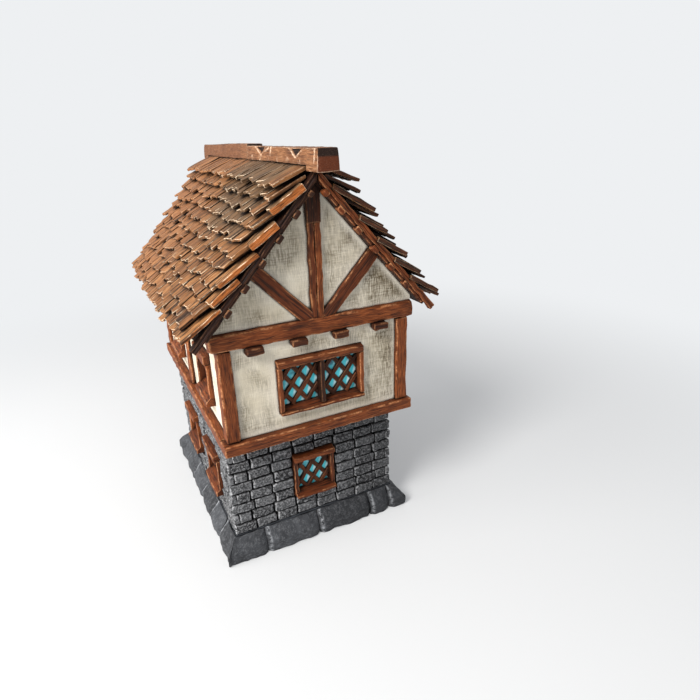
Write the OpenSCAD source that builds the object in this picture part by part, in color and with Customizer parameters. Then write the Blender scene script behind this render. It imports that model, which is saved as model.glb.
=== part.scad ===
// Half-timbered tabletop house for 28 mm figures, in three storeys that stack and lift apart.
// The ground floor stands on the table, its front gable faces -Y and +Z is up.

/* [Ground floor] */
// Width over the two stone side walls
stone_w = 58; // [54:0.5:60]
// Depth over the stone front and back walls
stone_d = 74; // [70:0.5:76]
// Height of the top of the stone walls
stone_top = 44.4; // [43:0.1:47]
// Thickness of the wall panels that carry the stones
panel_t = 3; // [2.4:0.1:3.4]
// How far the stones stand out of their panels
stone_relief = 1.8; // [1.4:0.1:2.2]
// Height of one course of stones with its joint
course_h = 3.85; // [3.4:0.05:4.4]
// Length of one stone with its joint
stone_l = 7.6; // [6.5:0.1:9]
// Width of the joints between stones
mortar = 0.45; // [0.3:0.05:0.7]
// Height of the foundation where it meets the stones
plinth_h = 8.5; // [7.5:0.1:9.5]
// Height of the upright edge of the foundation slabs
plinth_edge = 4.1; // [3:0.1:5.5]
// How far the foundation slabs stand out of the wall
plinth_out = 4.1; // [3:0.1:5]
// Thickness of the floor boards in both rooms
board_t = 1.2; // [0.8:0.1:1.6]

/* [Door] */
// Width of the door leaf
leaf_w = 14.9; // [13:0.1:16]
// Height of the door leaf
leaf_h = 27; // [24:0.5:28.5]
// Thickness of the door leaf
leaf_t = 1.8; // [1.4:0.1:2.2]
// Distance of the hinge from the middle of the side wall, towards the front
hinge_y = 5.5; // [2:0.5:9]
// Radius of the hinge pins
pin_r = 0.6; // [0.5:0.05:0.7]
// Gap round the hinge pins
pin_gap = 0.05; // [0.03:0.01:0.09]
// Thickness of the hinge knuckles round the pins
knuckle_t = 0.45; // [0.35:0.05:0.6]

/* [Upper storey] */
// How far the storey hangs over the front and back walls
jetty = 10.6; // [7:0.1:11]
// How far the storey hangs over the side walls
side_jetty = 2.1; // [1.5:0.1:2.3]
// Height of the upper storey, with its sill beams
storey_h = 31.6; // [30:0.1:34]
// Height of the sill beams
sill_h = 3.6; // [3:0.1:4.2]
// Depth of the sill beams, inwards
sill_d = 5; // [4.6:0.1:5.6]
// Width of the corner posts
post_w = 4; // [3.4:0.1:4.3]
// How far the posts lie back from the sill beams
post_inset = 1.1; // [0.6:0.1:1.3]
// How far the plaster lies back from the posts
plaster_inset = 1.3; // [1:0.1:1.4]
// Thickness of the plaster panels
plaster_t = 2.3; // [1.8:0.1:2.5]

/* [Windows] */
// Width of the window in the front stone wall
ground_window_w = 14.4; // [12:0.1:16]
// Width of the windows in the stone side walls
side_window_w = 16; // [13:0.1:17]
// Width of the double windows in the upper gables
gable_window_w = 27.6; // [24:0.1:30]
// Width of the upper side windows
upper_window_w = 15; // [13:0.1:17]
// Width of the upright window frames
jamb_w = 1.4; // [1.2:0.1:1.8]
// Thickness of the lattice bars
lattice_t = 0.9; // [0.7:0.05:1.1]
// Width of the lattice bars
lattice_w = 1.3; // [1:0.05:1.5]
// Thickness of the panes
pane_t = 0.8; // [0.6:0.05:1]

/* [Roof] */
// Slope of the roof
pitch = 48.5; // [47:0.1:49.5]
// How far the barge board tips stand out from the middle of the house
eave_half = 36.9; // [36.2:0.1:38]
// Thickness of the roof decks
deck_t = 2.2; // [1.8:0.1:2.4]
// Height of the tie beams
tie_h = 4.9; // [4:0.1:5.2]
// How far the barge boards stand in front of the gable plaster
verge = 5.4; // [4.5:0.1:6.5]
// Thickness of the barge boards
barge_t = 2; // [1.5:0.1:2.4]
// Thickness of the shingles
shingle_t = 1; // [0.85:0.05:1.1]
// Number of shingles in one course
shingle_n = 23; // [18:1:26]
// Greatest length of a shingle
shingle_l = 12.1; // [10.5:0.1:12.6]
// Width of the ridge caps at their foot
ridge_w = 6.2; // [5:0.1:6.6]
// Height of the ridge caps over the ridge board
ridge_h = 3.2; // [2.6:0.1:4.4]
// How far the ridge caps stand out in front of the barge boards
ridge_out = 6.6; // [4:0.1:8]

/* [Hidden] */

timber = [0.36, 0.17, 0.09];
floor_wood = [0.45, 0.29, 0.16];
roof_wood = [0.55, 0.36, 0.22];
stone_grey = [0.33, 0.34, 0.35];
slab_grey = [0.27, 0.29, 0.31];
plaster_white = [0.86, 0.84, 0.78];
pane_blue = [0.2, 0.72, 0.78];
iron = [0.16, 0.15, 0.15];

// Clearances
fit = 0.2;                 // between parts that lift off and what they locate in
seam = 0.1;                // between parts of one storey that stand side by side
swing = 0.3;               // round the door leaf
eps = 0.01;

// Stone walls
front_y = stone_d / 2;
side_x = stone_w / 2;
panel_y = front_y - stone_relief;
panel_x = side_x - stone_relief;
room_y = panel_y - panel_t;
room_x = panel_x - panel_t;
courses = ceil((stone_top - plinth_h) / course_h);
least_stone = 1.1;         // shorter pieces of stone are left out beside an opening

// Upper storey
joist_w = 4.8;
joist_h = 2.1;
joist_out = 3.1;
joist_gap = 13;            // from the middle of one joist to the next
post_mid = 2;              // the side posts stand behind the middle of the side walls
sill_y = front_y + jetty;
sill_x = side_x + side_jetty;
sill_top = stone_top + sill_h;
wall_top = stone_top + storey_h;
post_y = sill_y - post_inset;
post_x = sill_x - post_inset - 0.2;
plaster_y = post_y - plaster_inset;
plaster_x = post_x - plaster_inset;
inner_y = plaster_y - plaster_t;
inner_x = plaster_x - plaster_t;

// Windows: centre, width, sill foot, lintel top, sill height, lintel height, sill out, lintel out, frame out
frame_in = 3.4;            // how far the frames reach into the wall
lattice_set = 0.5;         // how far the lattices lie back from the wall's face
window_half = 8;           // half the height of the windows in the stone walls
ground_mid = plinth_h + 15.75;
ground_low = ground_mid - window_half;
ground_high = ground_mid + window_half;
gable_half = 8.7;          // half the height of the upper windows
upper_mid = sill_top + 13.6;
upper_low = upper_mid - gable_half;
upper_high = upper_mid + gable_half;
lattice_x = 2.32;          // half a diamond across
lattice_z = 3.05;          // half a diamond up
front_window = [-0.6, ground_window_w, ground_low, ground_high, 2, 2.3, 2.6, 2, 1];
back_window = [0, ground_window_w, ground_low, ground_high, 2, 2.3, 2.6, 2, 1];
left_front_window = [16.8, side_window_w, ground_low, ground_high, 3.6, 2.6, 2.4, 2, 1];
left_rear_window = [-13.2, side_window_w, ground_low, ground_high, 3.6, 2.6, 2.4, 2, 1];
right_window = [22, side_window_w, ground_low, ground_high, 3.6, 2.6, 2.4, 2, 1];
gable_window = [0.3, gable_window_w, upper_low, upper_high, 2, 2.5, 2.1, 1.9, 1.7];
upper_near = [23, upper_window_w, upper_low, upper_high, 4.2, 3.6, 2.8, 2.2, 1.5];
upper_far = [-21, upper_window_w, upper_low, upper_high, 4.2, 3.6, 2.8, 2.2, 1.5];

// Door, on the right wall: the hinge axis stands just outside the leaf
leaf_face = side_x + 0.2;
hinge_x = leaf_face + 1.2;
leaf_foot = plinth_h + 0.5;
leaf_edge = 0.2;           // from the hinge axis to the near edge of the leaf
door_front = hinge_y - leaf_w - leaf_edge - 0.4;
door_back = hinge_y + 0.1;
door_top = leaf_foot + leaf_h + swing;
frame_w = 2.2;
frame_face = side_x - 0.1;
lintel_h = 3;
step_out = 6.2;
strap_h = 1.8;
strap_t = 0.5;
strap_zs = [leaf_foot + 4.5, leaf_foot + leaf_h - 5.5];
knuckle_r = pin_r + pin_gap + knuckle_t;
door_mid = (door_front + door_back) / 2;
door_hole = [door_mid, door_back - door_front + 2 * frame_w, plinth_h, door_top + lintel_h];

// Roof: the deck's upper face runs down from the apex
slope = tan(pitch);
deck_drop = deck_t / cos(pitch);
tie_out = 0.4;             // how far the tie beams stand out of the sill beams' line and of the posts
tie_x = sill_x + tie_out;
tie_y = post_y + tie_out;
tie_top = wall_top + tie_h;
seat_gap = 1.3;            // from the outer top edge of a tie beam up to the deck
apex = tie_top + seat_gap + deck_drop + tie_x * slope;
gable_y = plaster_y + 0.1;
barge_y = gable_y + verge;
deck_y = barge_y - barge_t;
deck_end = eave_half - 1.7;
king_half = 1.95;
king_out = 1.4;
brace_out = 1.3;
brace_w = 4.4;
brace_angle = 46.8;
brace_foot = 2.9;
brace_blank = 60;          // the length that the braces are cut from
brace_tail = 10;           // how much of it lies before the foot
brace_turn = brace_angle + pitch;
brace_rise = brace_foot * sin(pitch) - (apex - tie_top) * cos(pitch);
brace_down = brace_foot * cos(pitch) + (apex - tie_top) * sin(pitch);
brace_s = brace_down - (deck_t + brace_rise) / tan(brace_turn); // where the braces meet the deck
brace_clear = 0.3;         // from a brace to a purlin that runs past it
brace_reach = brace_w / 2 / sin(brace_turn) + brace_clear;
purlin_s = [6, 12.2, 19.8, 27.4, 35, 42.6];
purlin_w = [1.8, 2.4, 2.4, 2.4, 2.4, 2.4];
purlin_h = [1.2, 1.4, 1.4, 1.4, 1.4, 1.4];
// The first purlins start in front of the king posts, and those that meet a brace in front of it
purlin_back = [for (i = [0:len(purlin_s) - 1]) i == 0 ? king_out :
    abs(purlin_s[i] - brace_s) < brace_reach + purlin_w[i] / 2 ? brace_out : 0];
purlin_out = 0.1;          // how far the purlin ends stand in front of the barge boards
fillet_h = 0.8;
fillet_end = 51.6;

// Shingle courses: a raised one under the ridge caps, then those that lie on the deck
deck_courses = 11;
raised_s = 1.5;            // from the apex to the raised course, down the slope
first_s = 3.4;             // from the apex to the first course on the deck
last_s = eave_half / cos(pitch) - 9.9;
course_step = (last_s - first_s) / (deck_courses - 1);
first_tilt = pitch - 23;
last_tilt = pitch - 15;
tilt_step = (last_tilt - first_tilt) / (deck_courses - 1);
raised_tilt = first_tilt - 3;
raised_lift = shingle_t / cos(first_tilt) + 0.15;
verge_long = 0.6;          // how far every second course stands in front of the barge boards
verge_short = 1.3;         // how far the others lie behind that face
eave_out = 3.4;            // how far the last course stands out past the barge board tips
shingle_vary = 2.1;        // how much shorter a shingle can be

// The last course ends at the same distance from the middle on both slopes
last_reach = (eave_half + eave_out - last_s * cos(pitch) - shingle_t * sin(last_tilt)) / cos(last_tilt);

// Ridge
cap_foot = apex + 1.5;
board_half = 0.95;
cap_half_top = ridge_w / 2 - 0.5;
cap_rise = 0.7;            // how far the rear cap stands above the front one where they meet
cap_seam = -2;             // where the two ridge caps meet
cap_end_drop = 2.2;        // how far the caps reach down past the ridge board in front of the roof
cap_side_drop = (ridge_w / 2 - board_half) * tan(raised_tilt);
beam_half = 2;             // half the width of the ridge beam
beam_drop = 9;             // from the apex of the decks to the foot of the ridge beam

// Strips that keep the roof in place
strip_w = 2;
strip_l = 24;
strip_drop = 2.8;
strip_up = 3;
strip_y = 10;              // from the middle of the house to the near end of a strip

// A repeatable scatter from 0 to 1
function scatter(a, b) = let (v = abs(sin(a * 127.1 + b * 311.7) * 43758.5)) v - floor(v);

// A stone's rectangle [x0, x1, z0, z1] less an opening, in pieces worth laying
function cut_stone(r, o) =
    (r[1] <= o[0] || r[0] >= o[1] || r[3] <= o[2] || r[2] >= o[3]) ? [r] :
    let (
        left = [r[0], o[0], r[2], r[3]],
        right = [o[1], r[1], r[2], r[3]],
        under = [max(r[0], o[0]), min(r[1], o[1]), r[2], o[2]],
        over = [max(r[0], o[0]), min(r[1], o[1]), o[3], r[3]]
    )
    [for (p = [left, right, under, over]) if (p[1] - p[0] > least_stone && p[3] - p[2] > least_stone) p];

function cut_stones(rects, openings, i = 0) =
    i >= len(openings) ? rects :
    cut_stones([for (r = rects) each cut_stone(r, openings[i])], openings, i + 1);

// Where the upright joints of one course stand, in running bond
function course_edges(half, row) =
    let (
        n = max(2, round(2 * half / stone_l)),
        step = 2 * half / n
    )
    row % 2 == 0 ? [for (i = [0:n]) -half + i * step] :
    concat([-half], [for (i = [0:n - 1]) -half + (i + 0.5) * step], [half]);

// A window's outline, with clearance, as an opening in the stones
function window_hole(w) = [w[0] - w[1] / 2 - seam, w[0] + w[1] / 2 + seam, w[2] - seam, w[3] + seam];

// Turn a piece drawn on the front wall, with its outer face at y = 0, to one of the four walls
module on_front(y) {
    translate([0, -y, 0]) children();
}
module on_back(y) {
    rotate(180) translate([0, -y, 0]) children();
}
module on_left(x) {
    rotate(-90) translate([0, -x, 0]) children();
}
module on_right(x) {
    rotate(90) translate([0, -x, 0]) children();
}

// A bar along X with a profile drawn in Y and Z
module bar(x0, x1, profile) {
    translate([x0, 0, 0]) rotate([90, 0, 90]) linear_extrude(x1 - x0) polygon(profile);
}

// ---- Foundation ----

module base_plate() {
    color(slab_grey) difference() {
        translate([-side_x, -front_y, 0]) cube([stone_w, stone_d, plinth_h]);
        translate([-room_x, -room_y, plinth_h - board_t]) cube([2 * room_x, 2 * room_y, board_t + 1]);
    }
}

// One foundation slab from a to b along a wall, mitred where it reaches a corner
module slab(a, b, half) {
    intersection() {
        bar(a, b, [
            [0, 0], [-plinth_out, 0], [-plinth_out, plinth_edge],
            [-plinth_out + 0.8, plinth_edge + 0.9], [0, plinth_h]
        ]);
        linear_extrude(plinth_h + 1)
            polygon([
                [-half, 0], [half, 0],
                [half + plinth_out, -plinth_out], [-half - plinth_out, -plinth_out]
            ]);
    }
}

module slab_row(half, joints) {
    edges = concat([-half - plinth_out], [for (j = joints) j * half], [half + plinth_out]);
    last = len(edges) - 2;
    for (i = [0:last])
        slab(edges[i] + (i == 0 ? 0 : mortar / 2), edges[i + 1] - (i == last ? 0 : mortar / 2), half);
}

module plinth_slabs() {
    step_mid = door_mid;
    step_half = door_hole[1] / 2;
    color(slab_grey) {
        on_front(front_y) slab_row(side_x, [-0.68, -0.03, 0.66, 0.93]);
        on_back(front_y) slab_row(side_x, [-0.55, 0.12, 0.7]);
        on_left(side_x) slab_row(front_y, [-0.7, -0.36, 0.02, 0.4, 0.72]);
        on_right(side_x) {
            slab(-front_y - plinth_out, -0.62 * front_y - mortar / 2, front_y);
            slab(-0.62 * front_y + mortar / 2, step_mid - step_half - mortar, front_y);
            slab(step_mid + step_half + mortar, 0.55 * front_y - mortar / 2, front_y);
            slab(0.55 * front_y + mortar / 2, front_y + plinth_out, front_y);
        }
    }
}

// ---- Stone walls ----

module stone_panel(half, windows, door = []) {
    difference() {
        translate([-half, 0, plinth_h]) cube([2 * half, panel_t, stone_top - plinth_h]);
        for (w = windows)
            translate([w[0] - w[1] / 2, -1, w[2]]) cube([w[1], panel_t + 2, w[3] - w[2]]);
        for (d = door)
            translate([d[0] - d[1] / 2, -1, d[2] - 1]) cube([d[1], panel_t + 2, d[3] - d[2] + 1]);
    }
}

// The stones of one wall: half is half its length, starts says which courses wrap the corners
module stone_courses(half, starts, openings) {
    for (row = [0:courses - 1]) {
        z0 = plinth_h + row * course_h;
        z1 = min(z0 + course_h, stone_top + mortar);
        wraps = row % 2 == starts;
        row_half = wraps ? half : half - stone_relief - mortar;
        edges = course_edges(row_half, row);
        for (i = [0:len(edges) - 2]) {
            whole = [
                edges[i] + (i == 0 ? 0 : mortar / 2),
                edges[i + 1] - (i == len(edges) - 2 ? 0 : mortar / 2),
                z0,
                z1 - mortar
            ];
            depth = stone_relief * (0.86 + 0.14 * scatter(i, row + half));
            for (r = cut_stones([whole], openings))
                translate([r[0], stone_relief - depth, r[2]]) cube([r[1] - r[0], depth, r[3] - r[2]]);
        }
    }
}

module front_stone_wall() {
    color(stone_grey) on_front(panel_y) stone_panel(panel_x, [front_window]);
}
module back_stone_wall() {
    color(stone_grey) on_back(panel_y) stone_panel(panel_x, [back_window]);
}
module left_stone_wall() {
    color(stone_grey) on_left(panel_x) stone_panel(room_y, [left_front_window, left_rear_window]);
}
module right_stone_wall() {
    color(stone_grey) on_right(panel_x) stone_panel(room_y, [right_window], [door_hole]);
}
module front_stones() {
    color(stone_grey) on_front(front_y) stone_courses(side_x, 0, [window_hole(front_window)]);
}
module back_stones() {
    color(stone_grey) on_back(front_y) stone_courses(side_x, 0, [window_hole(back_window)]);
}
module left_stones() {
    color(stone_grey) on_left(side_x)
        stone_courses(front_y, 1, [window_hole(left_front_window), window_hole(left_rear_window)]);
}
module right_stones() {
    color(stone_grey) on_right(side_x)
        stone_courses(front_y, 1, [window_hole(right_window), window_hole(door_hole)]);
}

// ---- Floors ----

module floor_boards(half_x, half_y, z) {
    n = 8;
    step = 2 * half_x / n;
    for (i = [0:n - 1])
        translate([-half_x + i * step + seam / 2, -half_y + seam, z])
            cube([step - seam, 2 * (half_y - seam), board_t]);
}

module ground_floor_boards() {
    color(floor_wood) floor_boards(room_x, room_y, plinth_h - board_t);
}

// ---- Windows, drawn on the front wall with its outer face at y = 0 ----

function sill_slope(w, y) = w[2] + 1.1 + (w[4] - 1.1) * (y + w[6]) / (0.4 + w[6]);

module lintel(w) {
    foot = w[3] - w[5];
    bar(w[0] - w[1] / 2, w[0] + w[1] / 2,
        [[-w[7], foot], [frame_in, foot], [frame_in, w[3]], [-0.1, w[3]], [-w[7], w[3] - 0.6]]);
}

module sill(w) {
    bar(w[0] - w[1] / 2, w[0] + w[1] / 2,
        [[-w[6], w[2]], [frame_in, w[2]], [frame_in, w[2] + w[4]], [0.4, w[2] + w[4]], [-w[6], w[2] + 1.1]]);
}

module upright(w, x0, x1) {
    head = w[3] - w[5];
    bar(x0, x1, [
        [-w[8], sill_slope(w, -w[8])], [0.4, w[2] + w[4]], [frame_in, w[2] + w[4]],
        [frame_in, head], [-w[8], head]
    ]);
}

module jambs(w, double = false) {
    upright(w, w[0] - w[1] / 2, w[0] - w[1] / 2 + jamb_w);
    upright(w, w[0] + w[1] / 2 - jamb_w, w[0] + w[1] / 2);
    if (double) upright(w, w[0] - jamb_w / 2, w[0] + jamb_w / 2);
}

// One light's lattice: a sheet with diamonds cut out, from x0 to x1
module lattice(w, x0, x1) {
    low = w[2] + w[4];
    high = w[3] - w[5];
    mid_x = (x0 + x1) / 2;
    mid_z = (low + high) / 2;
    half_x = lattice_x - lattice_w / 2 * norm([1 / lattice_x, 1 / lattice_z]) * lattice_x;
    half_z = half_x * lattice_z / lattice_x;
    across = ceil((x1 - x0) / lattice_x);
    up = ceil((high - low) / lattice_z);
    translate([0, lattice_set + lattice_t, 0]) rotate([90, 0, 0]) linear_extrude(lattice_t) difference() {
        translate([x0, low]) square([x1 - x0, high - low]);
        intersection() {
            translate([x0 + 0.3, low + 0.3]) square([x1 - x0 - 0.6, high - low - 0.6]);
            for (i = [-across:across], j = [-up:up])
                if ((i + j) % 2 == 0)
                    translate([mid_x + i * lattice_x, mid_z + j * lattice_z])
                        polygon([[-half_x, 0], [0, -half_z], [half_x, 0], [0, half_z]]);
        }
    }
}

module lattices(w, double = false) {
    x0 = w[0] - w[1] / 2 + jamb_w;
    x1 = w[0] + w[1] / 2 - jamb_w;
    if (double) {
        lattice(w, x0, w[0] - jamb_w / 2);
        lattice(w, w[0] + jamb_w / 2, x1);
    } else lattice(w, x0, x1);
}

module pane(w, x0, x1) {
    low = w[2] + w[4];
    high = w[3] - w[5];
    translate([x0, lattice_set + lattice_t, low]) cube([x1 - x0, pane_t, high - low]);
}

module panes(w, double = false) {
    x0 = w[0] - w[1] / 2 + jamb_w;
    x1 = w[0] + w[1] / 2 - jamb_w;
    if (double) {
        pane(w, x0, w[0] - jamb_w / 2);
        pane(w, w[0] + jamb_w / 2, x1);
    } else pane(w, x0, x1);
}

module ground_lintels() {
    color(timber) {
        on_front(front_y) lintel(front_window);
        on_back(front_y) lintel(back_window);
        on_left(side_x) {
            lintel(left_front_window);
            lintel(left_rear_window);
        }
        on_right(side_x) lintel(right_window);
    }
}

module ground_sills() {
    color(timber) {
        on_front(front_y) sill(front_window);
        on_back(front_y) sill(back_window);
        on_left(side_x) {
            sill(left_front_window);
            sill(left_rear_window);
        }
        on_right(side_x) sill(right_window);
    }
}

module ground_jambs() {
    color(timber) {
        on_front(front_y) jambs(front_window);
        on_back(front_y) jambs(back_window);
        on_left(side_x) {
            jambs(left_front_window);
            jambs(left_rear_window);
        }
        on_right(side_x) jambs(right_window);
    }
}

module ground_lattices() {
    color(timber) {
        on_front(front_y) lattices(front_window);
        on_back(front_y) lattices(back_window);
        on_left(side_x) {
            lattices(left_front_window);
            lattices(left_rear_window);
        }
        on_right(side_x) lattices(right_window);
    }
}

module ground_panes() {
    color(pane_blue) {
        on_front(front_y) panes(front_window);
        on_back(front_y) panes(back_window);
        on_left(side_x) {
            panes(left_front_window);
            panes(left_rear_window);
        }
        on_right(side_x) panes(right_window);
    }
}

// ---- Door ----

module door_frame() {
    width = door_hole[1];
    color(timber) {
        for (y = [door_front - frame_w, door_back])
            translate([room_x, y, plinth_h]) cube([frame_face - room_x, frame_w, door_top - plinth_h]);
        translate([room_x, door_mid - width / 2, door_top])
            cube([frame_face + 1.6 - room_x, width, lintel_h]);
    }
}

module door_step() {
    width = door_hole[1];
    color(slab_grey) translate([side_x, door_mid - width / 2, 0]) cube([step_out, width, plinth_h - 0.3]);
}

// Each pintle is a bracket on the frame that carries an upright pin
module door_pintles() {
    bracket_h = 1.1;
    lip = 0.25;
    pin_l = strap_h + bracket_h / 2 + 0.3;
    color(iron) for (z = strap_zs) translate([0, hinge_y, z]) {
        translate([frame_face, 0.4, -bracket_h - 0.1]) cube([hinge_x + pin_r - frame_face, 1.4, bracket_h]);
        translate([hinge_x, 0, -bracket_h - 0.1]) cylinder(h = bracket_h, r = pin_r + lip, $fn = 48);
        translate([hinge_x, 0, -bracket_h / 2]) cylinder(h = pin_l, r = pin_r, $fn = 48);
    }
}

module door_leaf() {
    planks = 4;
    step = leaf_w / planks;
    color(timber) for (i = [0:planks - 1])
        translate([leaf_face - leaf_t, hinge_y - leaf_edge - leaf_w + i * step, leaf_foot])
            cube([leaf_t, step - (i == planks - 1 ? 0 : 0.05), leaf_h]);
}

module door_straps() {
    reach = leaf_w * 0.82;
    bridge = hinge_x - 0.2 - leaf_face;
    color(iron) for (z = strap_zs) translate([0, hinge_y, z]) difference() {
        union() {
            translate([leaf_face, -leaf_edge - reach, 0]) cube([strap_t, reach + leaf_edge, strap_h]);
            translate([leaf_face, -knuckle_r, 0]) cube([bridge, knuckle_r, strap_h]);
            translate([hinge_x, 0, 0]) cylinder(h = strap_h, r = knuckle_r, $fn = 48);
        }
        translate([hinge_x, 0, -1]) cylinder(h = strap_h + 2, r = pin_r + pin_gap, $fn = 48);
    }
}

module door_handle() {
    plate_r = 1.1;
    ring_r = 1.25;
    wire_r = 0.3;
    y = hinge_y - leaf_edge - leaf_w + 2.6;
    z = leaf_foot + leaf_h * 0.47;
    color(iron) translate([leaf_face, y, z]) rotate([0, 90, 0]) {
        cylinder(h = 0.45, r = plate_r, $fn = 48);
        translate([0, 0, 0.3]) cylinder(h = 0.75, r = 0.45, $fn = 32);
        translate([ring_r, 0, 0.75]) rotate_extrude($fn = 48)
            translate([ring_r, 0]) circle(r = wire_r, $fn = 16);
    }
}

// ---- Upper storey ----

module upper_floor() {
    color(floor_wood) translate([-sill_x + sill_d, -sill_y + sill_d, stone_top])
        cube([2 * (sill_x - sill_d), 2 * (sill_y - sill_d), sill_h - board_t]);
}

module upper_floor_boards() {
    color(floor_wood) floor_boards(sill_x - sill_d, sill_y - sill_d, sill_top - board_t);
}

module sill_beams() {
    color(timber) {
        for (y = [-sill_y, sill_y - sill_d])
            translate([-sill_x, y, stone_top]) cube([2 * sill_x, sill_d, sill_h]);
        for (x = [-sill_x, sill_x - sill_d])
            translate([x, -sill_y + sill_d, stone_top]) cube([sill_d, 2 * (sill_y - sill_d), sill_h]);
    }
}

module corner_posts() {
    color(timber) for (x = [-post_x, post_x - post_w], y = [-post_y, post_y - post_w])
        translate([x, y, sill_top]) cube([post_w, post_w, wall_top - sill_top]);
}

module side_posts() {
    color(timber) for (x = [-post_x, plaster_x])
        translate([x, post_mid - post_w / 2, sill_top]) cube([plaster_inset, post_w, wall_top - sill_top]);
}

module plaster_panel(half, windows) {
    difference() {
        translate([-half, 0, sill_top]) cube([2 * half, plaster_t, wall_top - sill_top]);
        for (w = windows)
            translate([w[0] - w[1] / 2, -1, w[2]]) cube([w[1], plaster_t + 2, w[3] - w[2]]);
    }
}

module front_plaster() {
    color(plaster_white) on_front(plaster_y) plaster_panel(post_x - post_w, [gable_window]);
}
module back_plaster() {
    color(plaster_white) on_back(plaster_y) plaster_panel(post_x - post_w, [gable_window]);
}
module left_plaster() {
    color(plaster_white) on_left(plaster_x) plaster_panel(post_y - post_w, [upper_near, upper_far]);
}
module right_plaster() {
    color(plaster_white) on_right(plaster_x) plaster_panel(post_y - post_w, [upper_near, upper_far]);
}

module upper_lintels() {
    color(timber) {
        on_front(plaster_y) lintel(gable_window);
        on_back(plaster_y) lintel(gable_window);
        for (w = [upper_near, upper_far]) {
            on_left(plaster_x) lintel(w);
            on_right(plaster_x) lintel(w);
        }
    }
}

module upper_sills() {
    color(timber) {
        on_front(plaster_y) sill(gable_window);
        on_back(plaster_y) sill(gable_window);
        for (w = [upper_near, upper_far]) {
            on_left(plaster_x) sill(w);
            on_right(plaster_x) sill(w);
        }
    }
}

module upper_jambs() {
    color(timber) {
        on_front(plaster_y) jambs(gable_window, double = true);
        on_back(plaster_y) jambs(gable_window, double = true);
        for (w = [upper_near, upper_far]) {
            on_left(plaster_x) jambs(w);
            on_right(plaster_x) jambs(w);
        }
    }
}

module upper_lattices() {
    color(timber) {
        on_front(plaster_y) lattices(gable_window, double = true);
        on_back(plaster_y) lattices(gable_window, double = true);
        for (w = [upper_near, upper_far]) {
            on_left(plaster_x) lattices(w);
            on_right(plaster_x) lattices(w);
        }
    }
}

module upper_panes() {
    color(pane_blue) {
        on_front(plaster_y) panes(gable_window, double = true);
        on_back(plaster_y) panes(gable_window, double = true);
        for (w = [upper_near, upper_far]) {
            on_left(plaster_x) panes(w);
            on_right(plaster_x) panes(w);
        }
    }
}

// Joist ends show under the tie beams, on the plaster
module joist_ends() {
    color(timber) for (x = [-1.5, -0.5, 0.5, 1.5] * joist_gap, turn = [0, 180])
        rotate(turn) translate([x - joist_w / 2, -plaster_y - joist_out, wall_top - joist_h])
            cube([joist_w, joist_out, joist_h]);
}

// Blocks under the upper floor that drop inside the stone walls
module floor_locators() {
    block = 3;
    drop = 2.5;
    color(floor_wood) for (sx = [0, 1], sy = [0, 1])
        mirror([sx, 0, 0]) mirror([0, sy, 0])
            translate([room_x - fit - block, room_y - fit - block, stone_top - drop])
                cube([block, block, drop]);
}

// ---- Roof frame ----

function deck_under(x) = apex - deck_drop - slope * x;

module tie_beams() {
    depth = tie_y - (sill_y - sill_d);
    color(timber) for (turn = [0, 180])
        rotate(turn) translate([-tie_x, -tie_y, wall_top]) cube([2 * tie_x, depth, tie_h]);
}

// Timbers along the tops of the side walls, cut to the slope of the deck
module roof_plates() {
    inner = inner_x - fit;
    outer = post_x + 0.8;
    half_y = sill_y - sill_d;
    color(timber) for (turn = [0, 180])
        rotate(turn) translate([0, half_y, 0]) rotate([90, 0, 0]) linear_extrude(2 * half_y)
            polygon([
                [inner, wall_top], [outer, wall_top],
                [outer, deck_under(outer)], [inner, deck_under(inner)]
            ]);
}

// Outline of the space under the decks, above the tie beam
module gable_outline(half) {
    polygon([
        [-half, tie_top], [half, tie_top], [half, deck_under(half)],
        [0, deck_under(0)], [-half, deck_under(half)]
    ]);
}

// A flat piece on both gables, from out in front of the plaster to in behind it
module on_gables(out, depth) {
    for (turn = [0, 180])
        rotate(turn) translate([0, -gable_y - out + depth, 0]) rotate([90, 0, 0])
            linear_extrude(depth) children();
}

module gable_panels() {
    color(plaster_white) on_gables(0, plaster_t - 0.1) gable_outline(tie_x - 0.3);
}

module king_posts() {
    color(timber) on_gables(king_out, king_out) intersection() {
        gable_outline(tie_x);
        translate([-king_half, tie_top]) square([2 * king_half, apex]);
    }
}

module gable_braces() {
    color(timber) on_gables(brace_out, brace_out) for (side = [0, 1])
        mirror([side, 0]) difference() {
            intersection() {
                gable_outline(tie_x);
                translate([brace_foot, tie_top]) rotate(brace_angle)
                    translate([-brace_tail, -brace_w / 2]) square([brace_blank, brace_w]);
            }
            translate([-king_half, tie_top - 1]) square([2 * king_half, apex]);
        }
}

// A bar under or over the right-hand slope: s runs down from the apex, h up from the deck's face
module slope_piece(s0, s1, h0, h1, y0, y1) {
    translate([0, 0, apex]) rotate([0, pitch, 0]) translate([s0, y0, h0]) cube([s1 - s0, y1 - y0, h1 - h0]);
}

// Right-hand deck, mitred at the apex
module deck(end, half_y) {
    translate([0, half_y, 0]) rotate([90, 0, 0]) linear_extrude(2 * half_y) deck_profile(end);
}

module deck_profile(end) {
    foot = [end - deck_t * sin(pitch), apex - end * slope - deck_t * cos(pitch)];
    polygon([[0, apex], [end, apex - end * slope], foot, [0, apex - deck_drop]]);
}

module left_roof_deck() {
    color(roof_wood) mirror([1, 0, 0]) deck(deck_end, deck_y);
}
module right_roof_deck() {
    color(roof_wood) deck(deck_end, deck_y);
}

module barge_boards() {
    color(timber) for (turn = [0, 180], side = [0, 1])
        rotate(turn) mirror([side, 0, 0]) translate([0, -deck_y, 0]) rotate([90, 0, 0])
            linear_extrude(barge_t) difference() {
                deck_profile(eave_half);
                translate([-1, wall_top]) square([1 + seam / 2, apex]);
            }
}

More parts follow.
